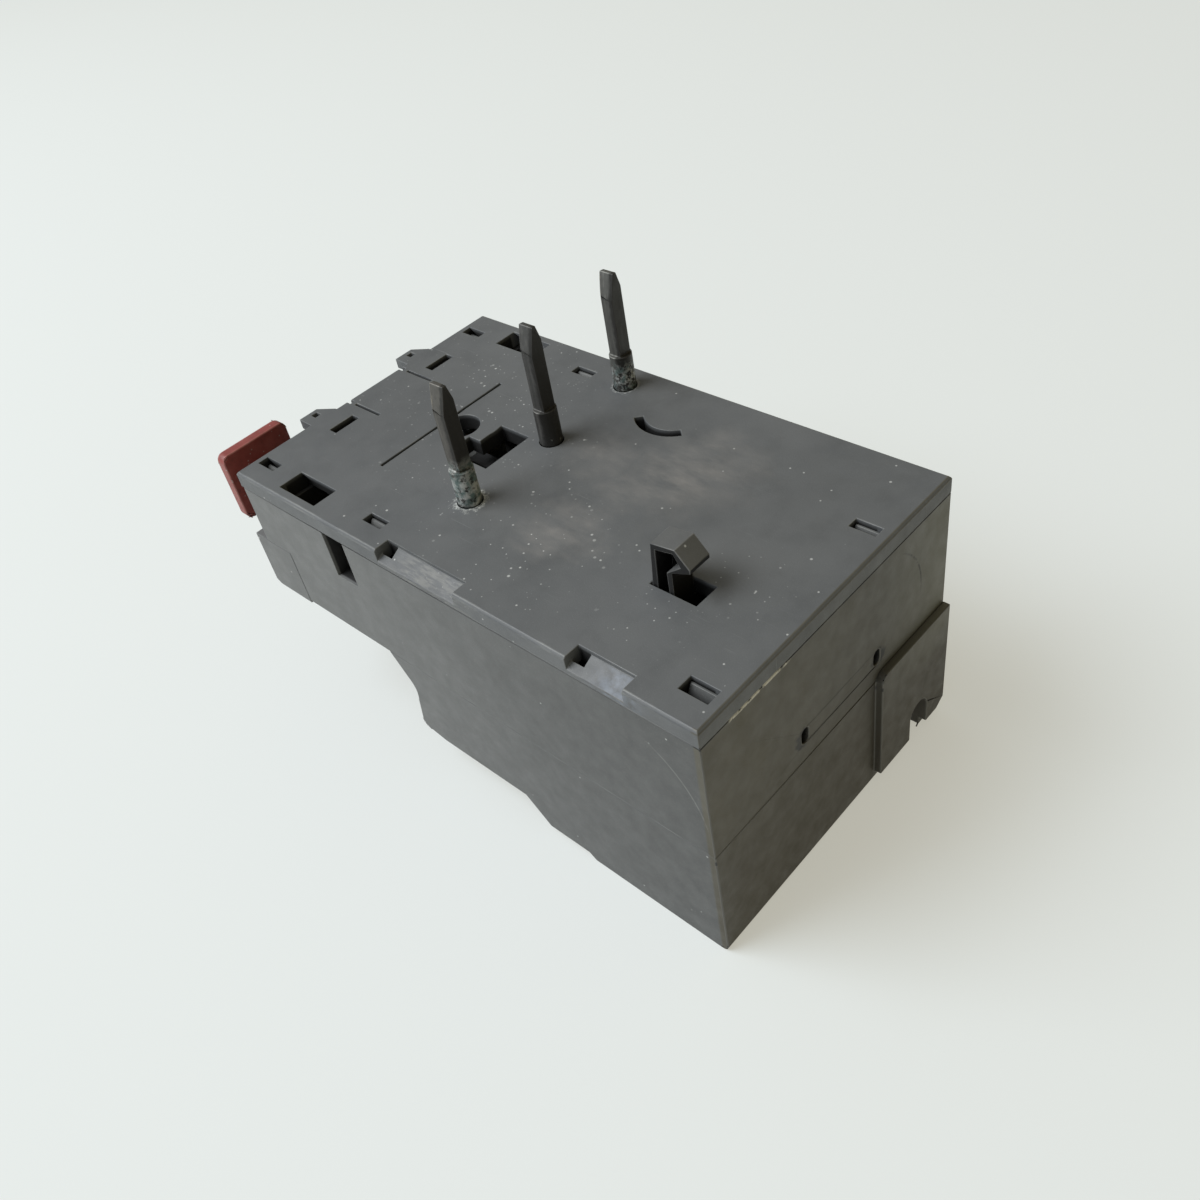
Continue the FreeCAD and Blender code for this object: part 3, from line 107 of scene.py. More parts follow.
# %% [markdown]
# ## Node helpers
# A procedural material is a small network: coordinates go into textures, textures into ramps, ramps into
# the shader. These helpers add one node each, so that a material reads as a short list of steps.


# %% Node helpers
class Surface:
    """A material under construction, with one shader and object coordinates in millimetres."""

    def __init__(self, name, roughness=0.5, metallic=0.0, specular=0.5):
        self.material = bpy.data.materials.new(name)
        self.material.use_nodes = True
        self.tree = self.material.node_tree
        self.shader = self.tree.nodes["Principled BSDF"]
        self.shader.inputs["Roughness"].default_value = roughness
        self.shader.inputs["Metallic"].default_value = metallic
        self.shader.inputs["Specular IOR Level"].default_value = specular
        self.place = self.mapped((1000, 1000, 1000))
        parts = self.add("ShaderNodeSeparateXYZ", {"Vector": self.place}).outputs
        self.x, self.y, self.z = parts["X"], parts["Y"], parts["Z"]

    def add(self, kind, inputs=None, **settings):
        node = self.tree.nodes.new(kind)
        for key, value in settings.items():
            setattr(node, key, value)
        for key, value in (inputs or {}).items():
            self.feed(node.inputs[key], value)
        return node

    def feed(self, socket, value):
        if isinstance(value, bpy.types.NodeSocket):
            self.tree.links.new(value, socket)
        else:
            socket.default_value = value

    def mapped(self, scale, turn=(0, 0, 0), move=(0, 0, 0)):
        coordinates = self.add("ShaderNodeTexCoord")
        inputs = {"Vector": coordinates.outputs["Object"], "Scale": scale}
        inputs.update({"Rotation": turn, "Location": move})
        return self.add("ShaderNodeMapping", inputs).outputs["Vector"]

    def noise(self, scale, detail=4.0, rough=0.55, vector=None):
        inputs = {"Vector": vector or self.place, "Scale": scale, "Detail": detail, "Roughness": rough}
        return self.add("ShaderNodeTexNoise", inputs).outputs["Fac"]

    def ramp(self, value, low, high, start=0.0, end=1.0):
        inputs = {"Value": value, "From Min": low, "From Max": high, "To Min": start, "To Max": end}
        return self.add("ShaderNodeMapRange", inputs, clamp=True).outputs["Result"]

    def math(self, operation, a, b=0.0):
        return self.add("ShaderNodeMath", {0: a, 1: b}, operation=operation).outputs[0]

    def times(self, *factors):
        result = factors[0]
        for factor in factors[1:]:
            result = self.math("MULTIPLY", result, factor)
        return result

    def most(self, *values):
        result = values[0]
        for value in values[1:]:
            result = self.math("MAXIMUM", result, value)
        return result

    def mix(self, factor, a, b):
        node = self.add("ShaderNodeMix", data_type="RGBA")
        self.feed(node.inputs["Factor"], factor)
        self.feed(node.inputs["A"], a if isinstance(a, bpy.types.NodeSocket) else (*a, 1.0))
        self.feed(node.inputs["B"], b if isinstance(b, bpy.types.NodeSocket) else (*b, 1.0))
        return node.outputs["Result"]

    def away_from(self, point, vector=None):
        """Distance in millimetres from a point."""
        inputs = {0: vector or self.place, 1: tuple(point)}
        return self.add("ShaderNodeVectorMath", inputs, operation="DISTANCE").outputs["Value"]

    def facing(self, direction, low=0.6, high=0.8):
        """1 on faces that look along a direction and 0 on the others."""
        normal = self.add("ShaderNodeNewGeometry").outputs["Normal"]
        turned = self.add("ShaderNodeVectorMath", {0: normal, 1: direction}, operation="DOT_PRODUCT")
        return self.ramp(turned.outputs["Value"], low, high)

    def patch(self, point, reach, soft, ragged=0.0, scale=1.0):
        """1 near a point and 0 beyond its reach, with a soft and ragged border."""
        distance = self.away_from(point)
        if ragged:
            offset = self.ramp(self.noise(scale, 5.0, 0.6), 0.25, 0.75, -ragged, ragged)
            distance = self.math("ADD", distance, offset)
        return self.ramp(distance, reach - soft, reach + soft, 1.0, 0.0)

    def between(self, value, low, high, soft):
        """1 between two values, with soft ends."""
        above = self.ramp(value, low - soft, low + soft)
        return self.times(above, self.ramp(value, high - soft, high + soft, 1.0, 0.0))

    def flecks(self, size, share, radius=0.3, vector=None):
        """Small round specks, on a given share of cells of a given size in millimetres."""
        cells = self.add("ShaderNodeTexVoronoi", {"Vector": vector or self.place, "Scale": 1.0 / size})
        near = self.ramp(cells.outputs["Distance"], radius * 0.6, radius, 1.0, 0.0)
        colour = self.add("ShaderNodeSeparateColor", {"Color": cells.outputs["Color"]})
        chosen = self.math("GREATER_THAN", colour.outputs["Red"], 1.0 - share)
        return self.times(near, chosen)

    def scratches(self, turn, threshold=0.7, spacing=3.0, length=0.05):
        """Fine lines along one direction, broken up so that few of them run on."""
        lines = self.noise(1.0, 2.0, 0.5, self.mapped((1000 * length, 1000 * spacing, 1000 * length), turn))
        patches = self.ramp(self.noise(0.12, 2.0), 0.5, 0.62)
        return self.times(self.ramp(lines, threshold, threshold + 0.03), patches)

    def colour(self, value):
        self.feed(self.shader.inputs["Base Color"], value)

    def bump(self, height, depth, strength=1.0):
        inputs = {"Height": height, "Distance": depth * MM, "Strength": strength}
        if self.shader.inputs["Normal"].is_linked:
            inputs["Normal"] = self.shader.inputs["Normal"].links[0].from_socket
        self.feed(self.shader.inputs["Normal"], self.add("ShaderNodeBump", inputs).outputs["Normal"])


print("node helpers ready")

# %% [markdown]
# ## Floor and light
# The relay stands on a plain pale floor. A broad soft light stands high over its front near corner, like
# a window, and a dim sky fills the rest: cool on the window's side, dimmer and warm behind, where a
# room's walls would be. A translucent foam floor passes light into a shadow, so seen directly the floor
# glows a little by itself. The light is plain: a surface square to it shows about the colour that it is
# given.

# %% Floor and light
FLOOR = (0.72, 0.71, 0.65)
FLOOR_GLOW = (0.420, 0.405, 0.350)
FLOOR_SEEN = (0.365, 0.415, 0.460)
SKY_BY_WINDOW = (0.38, 0.41, 0.46)
SKY_BEHIND = (0.26, 0.215, 0.10)
FLOOR_SIZE = 3.0
WINDOW_WATTS = 10.8
WINDOW_SIZE = 0.7
WINDOW_COLOUR = (0.985, 1.0, 1.0)
WINDOW_AIM = Vector((0, 0, -0.015))
SKY_TURN = 0.6
WINDOW_PLACE = Vector((-0.44, -0.50, 0.76))


def seen_directly(tree):
    """1 for a ray from the eye or from a mirror or glass, and 0 for light that bounces about."""
    path = tree.nodes.new("ShaderNodeLightPath")
    result = path.outputs["Is Camera Ray"]
    for name in ("Is Glossy Ray", "Is Transmission Ray"):
        either = tree.nodes.new("ShaderNodeMath")
        either.operation = "MAXIMUM"
        tree.links.new(result, either.inputs[0])
        tree.links.new(path.outputs[name], either.inputs[1])
        result = either.outputs[0]
    return result


def lay_floor(height):
    bpy.ops.object.select_all(action="DESELECT")
    bpy.ops.mesh.primitive_plane_add(size=FLOOR_SIZE, location=(0, 0, height))
    floor = bpy.context.active_object
    floor.name = "floor"
    s = Surface("floor_foam", roughness=0.85, specular=0.2)
    s.colour(s.mix(s.ramp(s.noise(0.01, 3.0), 0.3, 0.7), FLOOR, tuple(0.97 * c for c in FLOOR)))
    glow = s.add("ShaderNodeEmission", {"Color": (*FLOOR_GLOW, 1.0), "Strength": 1.0})
    foam = s.add("ShaderNodeBsdfDiffuse", {"Color": (*FLOOR_SEEN, 1.0)})
    both = s.add("ShaderNodeAddShader", {0: glow.outputs[0], 1: foam.outputs[0]})
    inputs = {0: seen_directly(s.tree), 1: s.shader.outputs[0], 2: both.outputs[0]}
    choice = s.add("ShaderNodeMixShader", inputs)
    s.tree.links.new(choice.outputs[0], s.tree.nodes["Material Output"].inputs["Surface"])
    floor.data.materials.append(s.material)


def hang_window(place, aim):
    data = bpy.data.lights.new("window", "AREA")
    data.shape = "SQUARE"
    data.size = WINDOW_SIZE
    data.energy = WINDOW_WATTS
    data.color = WINDOW_COLOUR
    lamp = bpy.data.objects.new("window", data)
    bpy.context.scene.collection.objects.link(lamp)
    lamp.location = place
    lamp.rotation_euler = (aim - place).to_track_quat("-Z", "Y").to_euler()


def light_sky(by_window, behind):
    """A sky that turns from one colour to another along the window's direction."""
    world = bpy.data.worlds.new("sky")
    bpy.context.scene.world = world
    world.use_nodes = True
    tree = world.node_tree
    toward = Vector((WINDOW_PLACE.x, WINDOW_PLACE.y, 0)).normalized()
    coordinates = tree.nodes.new("ShaderNodeTexCoord")
    along = tree.nodes.new("ShaderNodeVectorMath")
    along.operation = "DOT_PRODUCT"
    along.inputs[1].default_value = toward
    tree.links.new(coordinates.outputs["Generated"], along.inputs[0])
    share = tree.nodes.new("ShaderNodeMapRange")
    share.inputs["From Min"].default_value = -SKY_TURN
    share.inputs["From Max"].default_value = SKY_TURN
    tree.links.new(along.outputs["Value"], share.inputs["Value"])
    blend = tree.nodes.new("ShaderNodeMix")
    blend.data_type = "RGBA"
    tree.links.new(share.outputs["Result"], blend.inputs["Factor"])
    blend.inputs["A"].default_value = (*behind, 1.0)
    blend.inputs["B"].default_value = (*by_window, 1.0)
    tree.links.new(blend.outputs["Result"], tree.nodes["Background"].inputs["Color"])


lay_floor(cad_box[0][2])
hang_window(WINDOW_PLACE, WINDOW_AIM)
light_sky(SKY_BY_WINDOW, SKY_BEHIND)
bpy.context.scene.view_settings.view_transform = "Standard"
print("floor at", cad_box[0][2])

# %% [markdown]
# ## Rounded mouldings
# A solid model's edges are perfectly sharp, but a moulded one's are rounded by a tenth or two of a
# millimetre, and that thin round edge is what catches the light. A solid arrives as loose triangles, so a
# copy is made of it, its corners are merged, its flat faces are joined and cut into better triangles, and
# a Bevel modifier rounds what is left of its edges. Triangles matter round an opening, because a
# many-sided face can fill it by mistake, but on the plate, with its many holes, they leave creases, so
# there the faces stay whole. A Weighted Normal modifier then lets the large faces decide the shading, so
# that they stay flat up to the edge. The new edge faces get a second material, paler than the faces
# beside it: partly an edge rubbed by handling, partly a painted highlight.


# %% Rounded mouldings
MERGE_DISTANCE = 0.002 * MM
FLAT_ANGLE = math.radians(0.4)
ROUND_ANGLE = math.radians(50)
SQUARE_ON = 0.999
EDGE_ANGLE = 38
PIN_EDGE_ANGLE = 20


def only(piece):
    bpy.ops.object.select_all(action="DESELECT")
    piece.select_set(True)
    bpy.context.view_layer.objects.active = piece


def apply_all(piece):
    only(piece)
    for modifier in list(piece.modifiers):
        bpy.ops.object.modifier_apply(modifier=modifier.name)


def body_of_node(node):
    bodies = frame["record"]["behaviour"]["bodies"]
    return next(name for name, members in bodies.items() if node in members)


def keep_inside(piece, node):
    """Moves back to the solid's own box any corner that rounding pushed out of it."""
    low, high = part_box(node)
    for vertex in piece.data.vertices:
        vertex.co = [min(max(c, a), b) for c, a, b in zip(vertex.co, low, high)]


def merged_copy(node, name, surfaces, joined=True, cut=True):
    """A copy of a solid with its corners merged and, if asked, its flat faces joined and cut again."""
    piece = bpy.data.objects.new(name, nodes[node].data.copy())
    bpy.context.scene.collection.objects.link(piece)
    only(piece)
    bpy.ops.object.mode_set(mode="EDIT")
    bpy.ops.mesh.select_all(action="SELECT")
    bpy.ops.mesh.remove_doubles(threshold=MERGE_DISTANCE)
    if joined:
        bpy.ops.mesh.dissolve_limited(angle_limit=FLAT_ANGLE)
    if joined and cut:
        bpy.ops.mesh.select_all(action="SELECT")
        bpy.ops.mesh.quads_convert_to_tris(quad_method="BEAUTY", ngon_method="BEAUTY")
    bpy.ops.mesh.select_all(action="DESELECT")
    bpy.ops.object.mode_set(mode="OBJECT")
    piece.data.materials.clear()
    for surface in surfaces:
        piece.data.materials.append(surface.material)
    return piece


def stand_for(piece, node):
    """The piece moves with the solid's body and hides the solid."""
    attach(piece, body_of_node(node))
    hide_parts(node)


def rounded(node, name, radius, face, edge, angle=EDGE_ANGLE, segments=2, cut=True):
    """A copy of a solid with rounded edges, which stands for it."""
    piece = merged_copy(node, name, (face, edge), cut=cut)
    for polygon in piece.data.polygons:
        polygon.material_index = 0
    bevel = piece.modifiers.new("round", "BEVEL")
    bevel.width = radius * MM
    bevel.segments = segments
    bevel.limit_method = "ANGLE"
    bevel.angle_limit = math.radians(angle)
    bevel.use_clamp_overlap = False
    bevel.material = 1
    apply_all(piece)
    for polygon in piece.data.polygons:
        if max(abs(c) for c in polygon.normal) > SQUARE_ON:
            polygon.material_index = 0
    keep_inside(piece, node)
    bpy.ops.object.shade_smooth_by_angle(angle=ROUND_ANGLE)
    flatten = piece.modifiers.new("flatten", "WEIGHTED_NORMAL")
    flatten.mode = "FACE_AREA"
    flatten.weight = 100
    flatten.keep_sharp = True
    apply_all(piece)
    stand_for(piece, node)
    print(name, len(piece.data.polygons), "faces")
    return piece


def finish_nodes(names, surface):
    """Gives solids that stay as they are a material."""
    for name in names:
        mesh = nodes[name].data
        mesh.materials.clear()
        mesh.materials.append(surface.material)


print("rounding helpers ready")

# %% [markdown]
# ## Moulded housing plastic
# The housing is a glass-filled thermoplastic, nearly black when new. Years of handling leave it grey and
# matt: the skin is finely grained, smeared in broad soft patches, scratched in thin pale lines and dotted
# with white dust. Each of those is one texture at its own scale, mixed over the base colour.


# %% Places and shared colours
WHITE_DUST = (0.55, 0.56, 0.55)
# A dark tone for painted shade inside the walls and on the hook's shaded faces; dirty seams use it too.
SHADE_AND_SEAM_BLACK = (0.012, 0.012, 0.012)
# Browns for painted shade on the rear face, and a paler tone for painted light high on its far side.
REAR_SHADE = (0.098, 0.090, 0.064)
LOW_REAR_SHADE = (0.056, 0.049, 0.033)
REAR_EDGE_SHADE = (0.085, 0.080, 0.062)
REAR_PAINTED_LIGHT = (0.158, 0.158, 0.130)
CHIP = (0.62, 0.60, 0.52)
PLATE_BOX = [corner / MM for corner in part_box("pin_plate")]
FRONT, NEAR = PLATE_BOX[0].x, PLATE_BOX[0].y
REAR, FAR = PLATE_BOX[1].x, PLATE_BOX[1].y
REAR_SKIN = (REAR - 1.0, REAR - 0.7)
PLATE_UNDER = -2.3
REAR_OVALS_Y = (-11.1, 3.6)
REAR_OVALS_Z = -16.1
CASE_SEAM = -20.9
print("plate box in mm:", PLATE_BOX)

# %% [markdown]
# The plastic itself is one function, because the plate, the case, the block and the hook share it and
# differ only in colour, dust and gloss. It keeps its colour in `tone`, so that a piece can add marks of
# its own afterwards.


# %% Moulded plastic
def moulded_plastic(name, base, worn, dust=0.02, roughness=0.52, fade_and_falloff=1.0):
    """Grained, smeared, scratched and dusty plastic. A falloff above 1 paints light on its front and shade on
    its rear.
    """
    s = Surface(name, roughness=roughness, specular=0.4)
    smear = s.ramp(s.noise(0.045, 3.0, 0.6), 0.35, 0.7)
    cloud = s.ramp(s.noise(0.35, 5.0, 0.65), 0.35, 0.75, 0.0, 0.45)
    tone = s.mix(smear, base, worn)
    tone = s.mix(cloud, tone, worn)
    slanted = s.mapped((1000, 1000, 700), (0.4, 0.2, 0.9))
    grime = s.ramp(s.noise(0.16, 4.0, 0.6, slanted), 0.5, 0.75, 0.0, 0.35)
    tone = s.mix(grime, tone, tuple(0.62 * c for c in base))
    if fade_and_falloff != 1.0:
        # Painted light falloff: paler towards the front and darker towards the rear.
        tone = s.mix(s.ramp(s.x, REAR, FRONT, 0.0, 0.55), tone, tuple(fade_and_falloff * c for c in worn))
        tone = s.mix(s.ramp(s.x, -5, REAR, 0.0, 0.9), tone, tuple(c / fade_and_falloff for c in base))
    pale = tuple(min(1.0, c * 2.0 + 0.03) for c in worn)
    lines = s.most(
        s.scratches((0, 0, 0.5)), s.scratches((0.3, 0.2, -0.9), 0.72), s.scratches((1.1, 0.1, 0.3), 0.73)
    )
    tone = s.mix(s.times(lines, 0.3), tone, pale)
    grain = s.noise(7.0, 3.0, 0.7)
    tone = s.mix(s.ramp(grain, 0.58, 0.75, 0.0, 0.28), tone, pale)
    specks = s.most(s.flecks(1.9, 2.0 * dust, 0.10), s.flecks(0.9, dust, 0.16))
    s.tone = s.mix(s.times(specks, 0.7), tone, WHITE_DUST)
    gloss = s.ramp(s.noise(0.5, 4.0), 0.3, 0.7, roughness - 0.08, roughness + 0.1)
    s.feed(s.shader.inputs["Roughness"], gloss)
    s.bump(grain, 0.03, 0.6)
    s.bump(lines, -0.015, 0.5)
    return s


print("plastic ready")

# %% [markdown]
# Some marks belong to one place: painted shade inside, painted shade and light on the rear face, white
# chips along the rear seam and a few thin curved scratches. Each is a mask made from the point's own place
# on the part, and mixes one colour in.


# %% Marks in one place
def painted_shade_inside(s, tone, margin, top):
    """Painted shade: inside the walls the surface is painted dark, as the shade there."""
    deep = s.ramp(s.z, top - 0.5, top, 1.0, 0.0)
    along = s.between(s.x, FRONT + margin, REAR - margin, 0.1)
    across = s.between(s.y, NEAR + margin, FAR - margin, 0.1)
    return s.mix(s.times(deep, along, across, 0.93), tone, SHADE_AND_SEAM_BLACK)


def painted_rear_shade(s, tone):
    """Painted shade on the rear face: browner and darker, most of all low down and near the corner, with
    painted light high on the far side and dark round the two ovals.
    """
    rear = s.ramp(s.x, *REAR_SKIN)
    blotch = s.ramp(s.noise(0.22, 4.0, 0.6), 0.3, 0.7, 0.75, 1.0)
    tone = s.mix(s.times(rear, blotch, s.ramp(s.y, -24, 16, 0.95, 0.25)), tone, REAR_SHADE)
    tone = s.mix(s.times(rear, blotch, s.ramp(s.z, -12, -25, 0.0, 0.85)), tone, LOW_REAR_SHADE)
    lit_far_top = s.times(rear, s.ramp(s.y, 3, 16, 0.0, 0.8), s.ramp(s.z, -26, -20))
    tone = s.mix(lit_far_top, tone, REAR_PAINTED_LIGHT)
    # Painted shade: the two rear ovals and their rims are coloured dark.
    for y in REAR_OVALS_Y:
        dirt_and_shade = s.times(s.patch((REAR, y, REAR_OVALS_Z), 1.35, 0.25, 0.5, 0.9), 0.9)
        tone = s.mix(dirt_and_shade, tone, SHADE_AND_SEAM_BLACK)
    return tone


def chipped_seam(s, tone):
    """White chips along the rear seam under the plate, near the corner."""
    along = s.between(s.y, -22.3, -12.6, 0.25)
    band = s.between(s.z, PLATE_UNDER - 0.34, PLATE_UNDER + 0.10, 0.07)
    broken = s.ramp(s.noise(1.1, 5.0, 0.7), 0.42, 0.52)
    chips = s.times(along, band, broken, s.ramp(s.x, REAR - 1.0, REAR - 0.8))
    return s.mix(s.times(chips, 0.9), tone, CHIP)


def ring_scratch(s, tone, centre, radius, width, colour, strength, where, reach):
    """A thin curved line: the points at one distance from a centre, kept only near one place."""
    line = s.between(s.away_from(centre), radius - width, radius + width, width)
    kept = s.times(line, s.patch(where, reach, 0.4 * reach), s.ramp(s.noise(1.4, 4.0), 0.38, 0.5), strength)
    return s.mix(kept, tone, colour)


def two_scratches(s, tone):
    """A pale arc on the near side, by the rear corner, and a dark hairline on the rear face."""
    pale, dark = (0.30, 0.31, 0.30), (0.02, 0.02, 0.018)
    tone = ring_scratch(s, tone, (31.5, NEAR, -17.5), 13.0, 0.07, pale, 0.5, (42.5, NEAR, -9.5), 5.5)
    return ring_scratch(s, tone, (REAR, 3.0, -12.0), 9.5, 0.10, dark, 0.9, (REAR, 11.5, -8.0), 4.0)


print("marks ready")

# %% [markdown]
# The rounded edges have a surface of their own. An edge is rubbed first, so it is paler and a little
# shinier than the faces, and that paler tone is also a painted highlight. On the rear face the edges take
# the painted shade too, and where two mouldings meet an edge holds a line of dark grime.


# %% Rubbed edges
def rubbed_highlit_edge(name, base, worn, seams=()):
    """The rounded edge faces: rubbed paler and painted as a highlight where a broad noise says so, darker
    with painted shade on the rear face, and dark with grime along a seam.
    """
    s = Surface(name, roughness=0.42, specular=0.45)
    rub_and_highlight = s.ramp(s.noise(0.25, 4.0, 0.6), 0.42, 0.7)
    # Painted shade on the rear face's edges.
    rear_shaded = s.times(s.ramp(s.x, *REAR_SKIN), 0.7)
    tone = s.mix(rear_shaded, s.mix(rub_and_highlight, base, worn), REAR_EDGE_SHADE)
    by_rear = s.ramp(s.x, *REAR_SKIN, 0.35, 1.0)
    for height in seams:
        line = s.times(s.between(s.z, height - 0.3, height + 0.3, 0.06), by_rear)
        broken = s.ramp(s.noise(0.5, 4.0, 0.6), 0.36, 0.5, 0.45, 0.95)
        tone = s.mix(s.times(line, broken), tone, SHADE_AND_SEAM_BLACK)
    s.tone = chipped_seam(s, tone)
    s.colour(s.tone)
    s.bump(s.noise(6.0, 2.0, 0.7), 0.02, 0.5)
    return s


print("edges ready")

# %% [markdown]
# The case's surfaces follow. The upper case has openings, so it gets the painted shade inside as well.

# %% Case surfaces
CASE_BASE = (0.104, 0.108, 0.108)
CASE_WORN = (0.140, 0.144, 0.144)
CASE_RUBBED_HIGHLIT = (0.17, 0.175, 0.17)
PLATE_BASE = (0.098, 0.104, 0.109)
PLATE_WORN = (0.129, 0.135, 0.139)
CASE_MARGIN = 0.4
CASE_TOP = -1.6
case_plastic = moulded_plastic("case_plastic", CASE_BASE, CASE_WORN, fade_and_falloff=1.28)
case_plastic.colour(two_scratches(case_plastic, painted_rear_shade(case_plastic, case_plastic.tone)))
upper_plastic = moulded_plastic("upper_plastic", CASE_BASE, CASE_WORN, fade_and_falloff=1.28)
upper_tone = chipped_seam(upper_plastic, painted_rear_shade(upper_plastic, upper_plastic.tone))
upper_tone = two_scratches(upper_plastic, upper_tone)
upper_plastic.colour(painted_shade_inside(upper_plastic, upper_tone, CASE_MARGIN, CASE_TOP))
case_edge = rubbed_highlit_edge("case_edge", CASE_BASE, CASE_RUBBED_HIGHLIT, (CASE_SEAM,))
upper_edge = rubbed_highlit_edge("upper_edge", CASE_BASE, CASE_RUBBED_HIGHLIT, (CASE_SEAM, PLATE_UNDER))
upper_edge.colour(painted_shade_inside(upper_edge, upper_edge.tone, CASE_MARGIN, CASE_TOP))
print("housing plastics made")

# %% [markdown]
# ## The mounting plate's marks
# The plate carries most of the marks: soft pale smudges behind the pins, powder in the two edge recesses,
# white crust round the first pin's root, and loose dust that gathers near the hook. Each mark is a patch
# round a point on the plate, in millimetres, with a border made ragged by noise.

# %% Plate marks
SMUDGE = (0.235, 0.226, 0.216)
SHADE = (0.066, 0.069, 0.070)
CRUST = (0.62, 0.64, 0.61)
BLUISH_POWDER = (0.23, 0.26, 0.31)
SCUFF = (0.24, 0.24, 0.225)
PLATE_MARGIN = 2.2
PLATE_SKIN = -0.15
plate = moulded_plastic("plate_plastic", PLATE_BASE, PLATE_WORN, dust=0.05)
PIN_ROOTS = [sum(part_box(f"line_pin_{k}"), Vector()) / 2 / MM for k in POLES]
wiped = plate.mapped((110, 300, 110), (0, 0, 0.9))
streaks = plate.ramp(plate.noise(1.0, 4.0, 0.6, wiped), 0.32, 0.60)
smudge = plate.most(
    plate.patch((19.0, 1.5, 0), 4.0, 4.0, 3.0, 0.15),
    plate.times(plate.patch((16.4, -1.9, 0), 3.0, 3.0, 3.0, 0.15), 0.8),
    plate.times(plate.patch((13.3, -12.3, 0), 3.2, 3.4, 3.0, 0.2), 0.8),
    plate.times(plate.patch((20.0, 4.7, 0), 5.0, 4.5, 3.0, 0.15), 0.7),
    plate.times(plate.patch((7.6, 0.8, 0), 3.0, 3.0, 2.0, 0.2), 0.6),
)
tone = plate.mix(plate.times(smudge, streaks, 0.95), plate.tone, SMUDGE)
shade = plate.most(
    plate.patch((25, -3, 0), 6.0, 6.0, 4.0, 0.15),
    plate.times(plate.patch((34, 6, 0), 9.0, 8.0, 4.0, 0.12), 0.8),
    plate.times(plate.patch((-22, -4, 0), 9.0, 8.0, 4.0, 0.12), 0.6),
)
tone = plate.mix(plate.times(shade, 0.25), tone, SHADE)
crust_speckle = plate.ramp(plate.noise(2.6, 5.0, 0.72), 0.44, 0.56)
crust = plate.times(plate.patch((PIN_ROOTS[0].x, PIN_ROOTS[0].y, 0), 2.0, 0.4, 0.7, 1.2), crust_speckle)
crust = plate.most(
    crust,
    plate.times(plate.patch((PIN_ROOTS[2].x, PIN_ROOTS[2].y, 0), 1.75, 0.25, 0.4, 1.2), crust_speckle, 0.7),
)
tone = plate.mix(plate.times(crust, 0.9), tone, CRUST)
recess_dust = plate.ramp(plate.z, -0.5, -0.2, 1.0, 0.0)
soft_powder = plate.ramp(plate.noise(0.9, 4.0, 0.6), 0.35, 0.65)
powder = plate.times(plate.patch((34.5, -26.1, -0.8), 3.0, 1.6, 1.0, 0.6), soft_powder, recess_dust)
tone = plate.mix(plate.times(powder, 0.6), tone, BLUISH_POWDER)
scuff = plate.times(
    plate.patch((6.0, -25.9, -0.8), 6.0, 2.0, 1.5, 0.6),
    plate.ramp(plate.noise(1.0, 5.0, 0.65, plate.mapped((500, 2400, 2400))), 0.45, 0.6),
    recess_dust,
)
tone = plate.mix(plate.times(scuff, 0.5), tone, SCUFF)
loose = plate.most(plate.flecks(1.0, 0.22, 0.16), plate.flecks(0.55, 0.2, 0.2), plate.flecks(2.0, 0.2, 0.12))
gathered = plate.most(
    plate.patch((30.5, -18.4, 0), 3.5, 3.0, 2.0, 0.2),
    plate.patch((12.0, -17.5, 0), 8.0, 5.0, 2.0, 0.2),
    plate.times(plate.patch((36.0, -8.0, 0), 4.0, 3.5, 2.0, 0.2), 0.8),
    plate.times(plate.patch((2.0, -17.0, 0), 4.0, 3.0, 2.0, 0.2), 0.8),
    plate.times(plate.patch((-14, 2, 0), 14.0, 9.0, 3.0, 0.2), 0.5),
)
tone = plate.mix(plate.times(loose, gathered, 0.8), tone, WHITE_DUST)
tone = chipped_seam(plate, tone)
# Painted shade inside the plate's holes.
plate.colour(painted_shade_inside(plate, tone, PLATE_MARGIN, PLATE_SKIN))
plate_edge = rubbed_highlit_edge("plate_edge", PLATE_BASE, (0.17, 0.175, 0.172), (PLATE_UNDER,))
plate_edge.colour(painted_shade_inside(plate_edge, plate_edge.tone, PLATE_MARGIN, PLATE_SKIN))
print("plate marks made for pins at", [tuple(round(c, 1) for c in root) for root in PIN_ROOTS])

# %% [markdown]
# ## Housing pieces
# The plate, the two case halves and the terminal block keep their solid shape and get a small rounded
# edge.

# %% Housing pieces
plate_piece = rounded("pin_plate", "mounting_plate", 0.12, plate, plate_edge, cut=False)


def level_top(piece, slack=0.2):
    """Brings the corners of nearly level top faces back into the mounting face, which is at height 0."""
    mesh = piece.data
    level = [f for f in mesh.polygons if f.normal.z > 0.9 and f.material_index == 0]
    wide = [f for f in level if min(mesh.vertices[v].co.z for v in f.vertices) > -slack * MM]
    for corner in {v for f in wide for v in f.vertices}:
        mesh.vertices[corner].co.z = 0.0
    return len(wide)


print("levelled faces:", level_top(plate_piece))
rounded("upper_case", "case_upper", 0.14, upper_plastic, upper_edge)
rounded("lower_case", "case_lower", 0.16, case_plastic, case_edge)
rounded("aux_block", "terminal_block", 0.12, case_plastic, case_edge)

# %% [markdown]
# ## Hook
# The hook is a separate, darker moulding, smoother than the plate. Only faces that look up, above the plate,
# keep its colour and dust; its sides and underside are painted dark as shade.

# %% Hook
hook = moulded_plastic("hook_plastic", (0.076, 0.078, 0.079), (0.108, 0.111, 0.111), roughness=0.42)
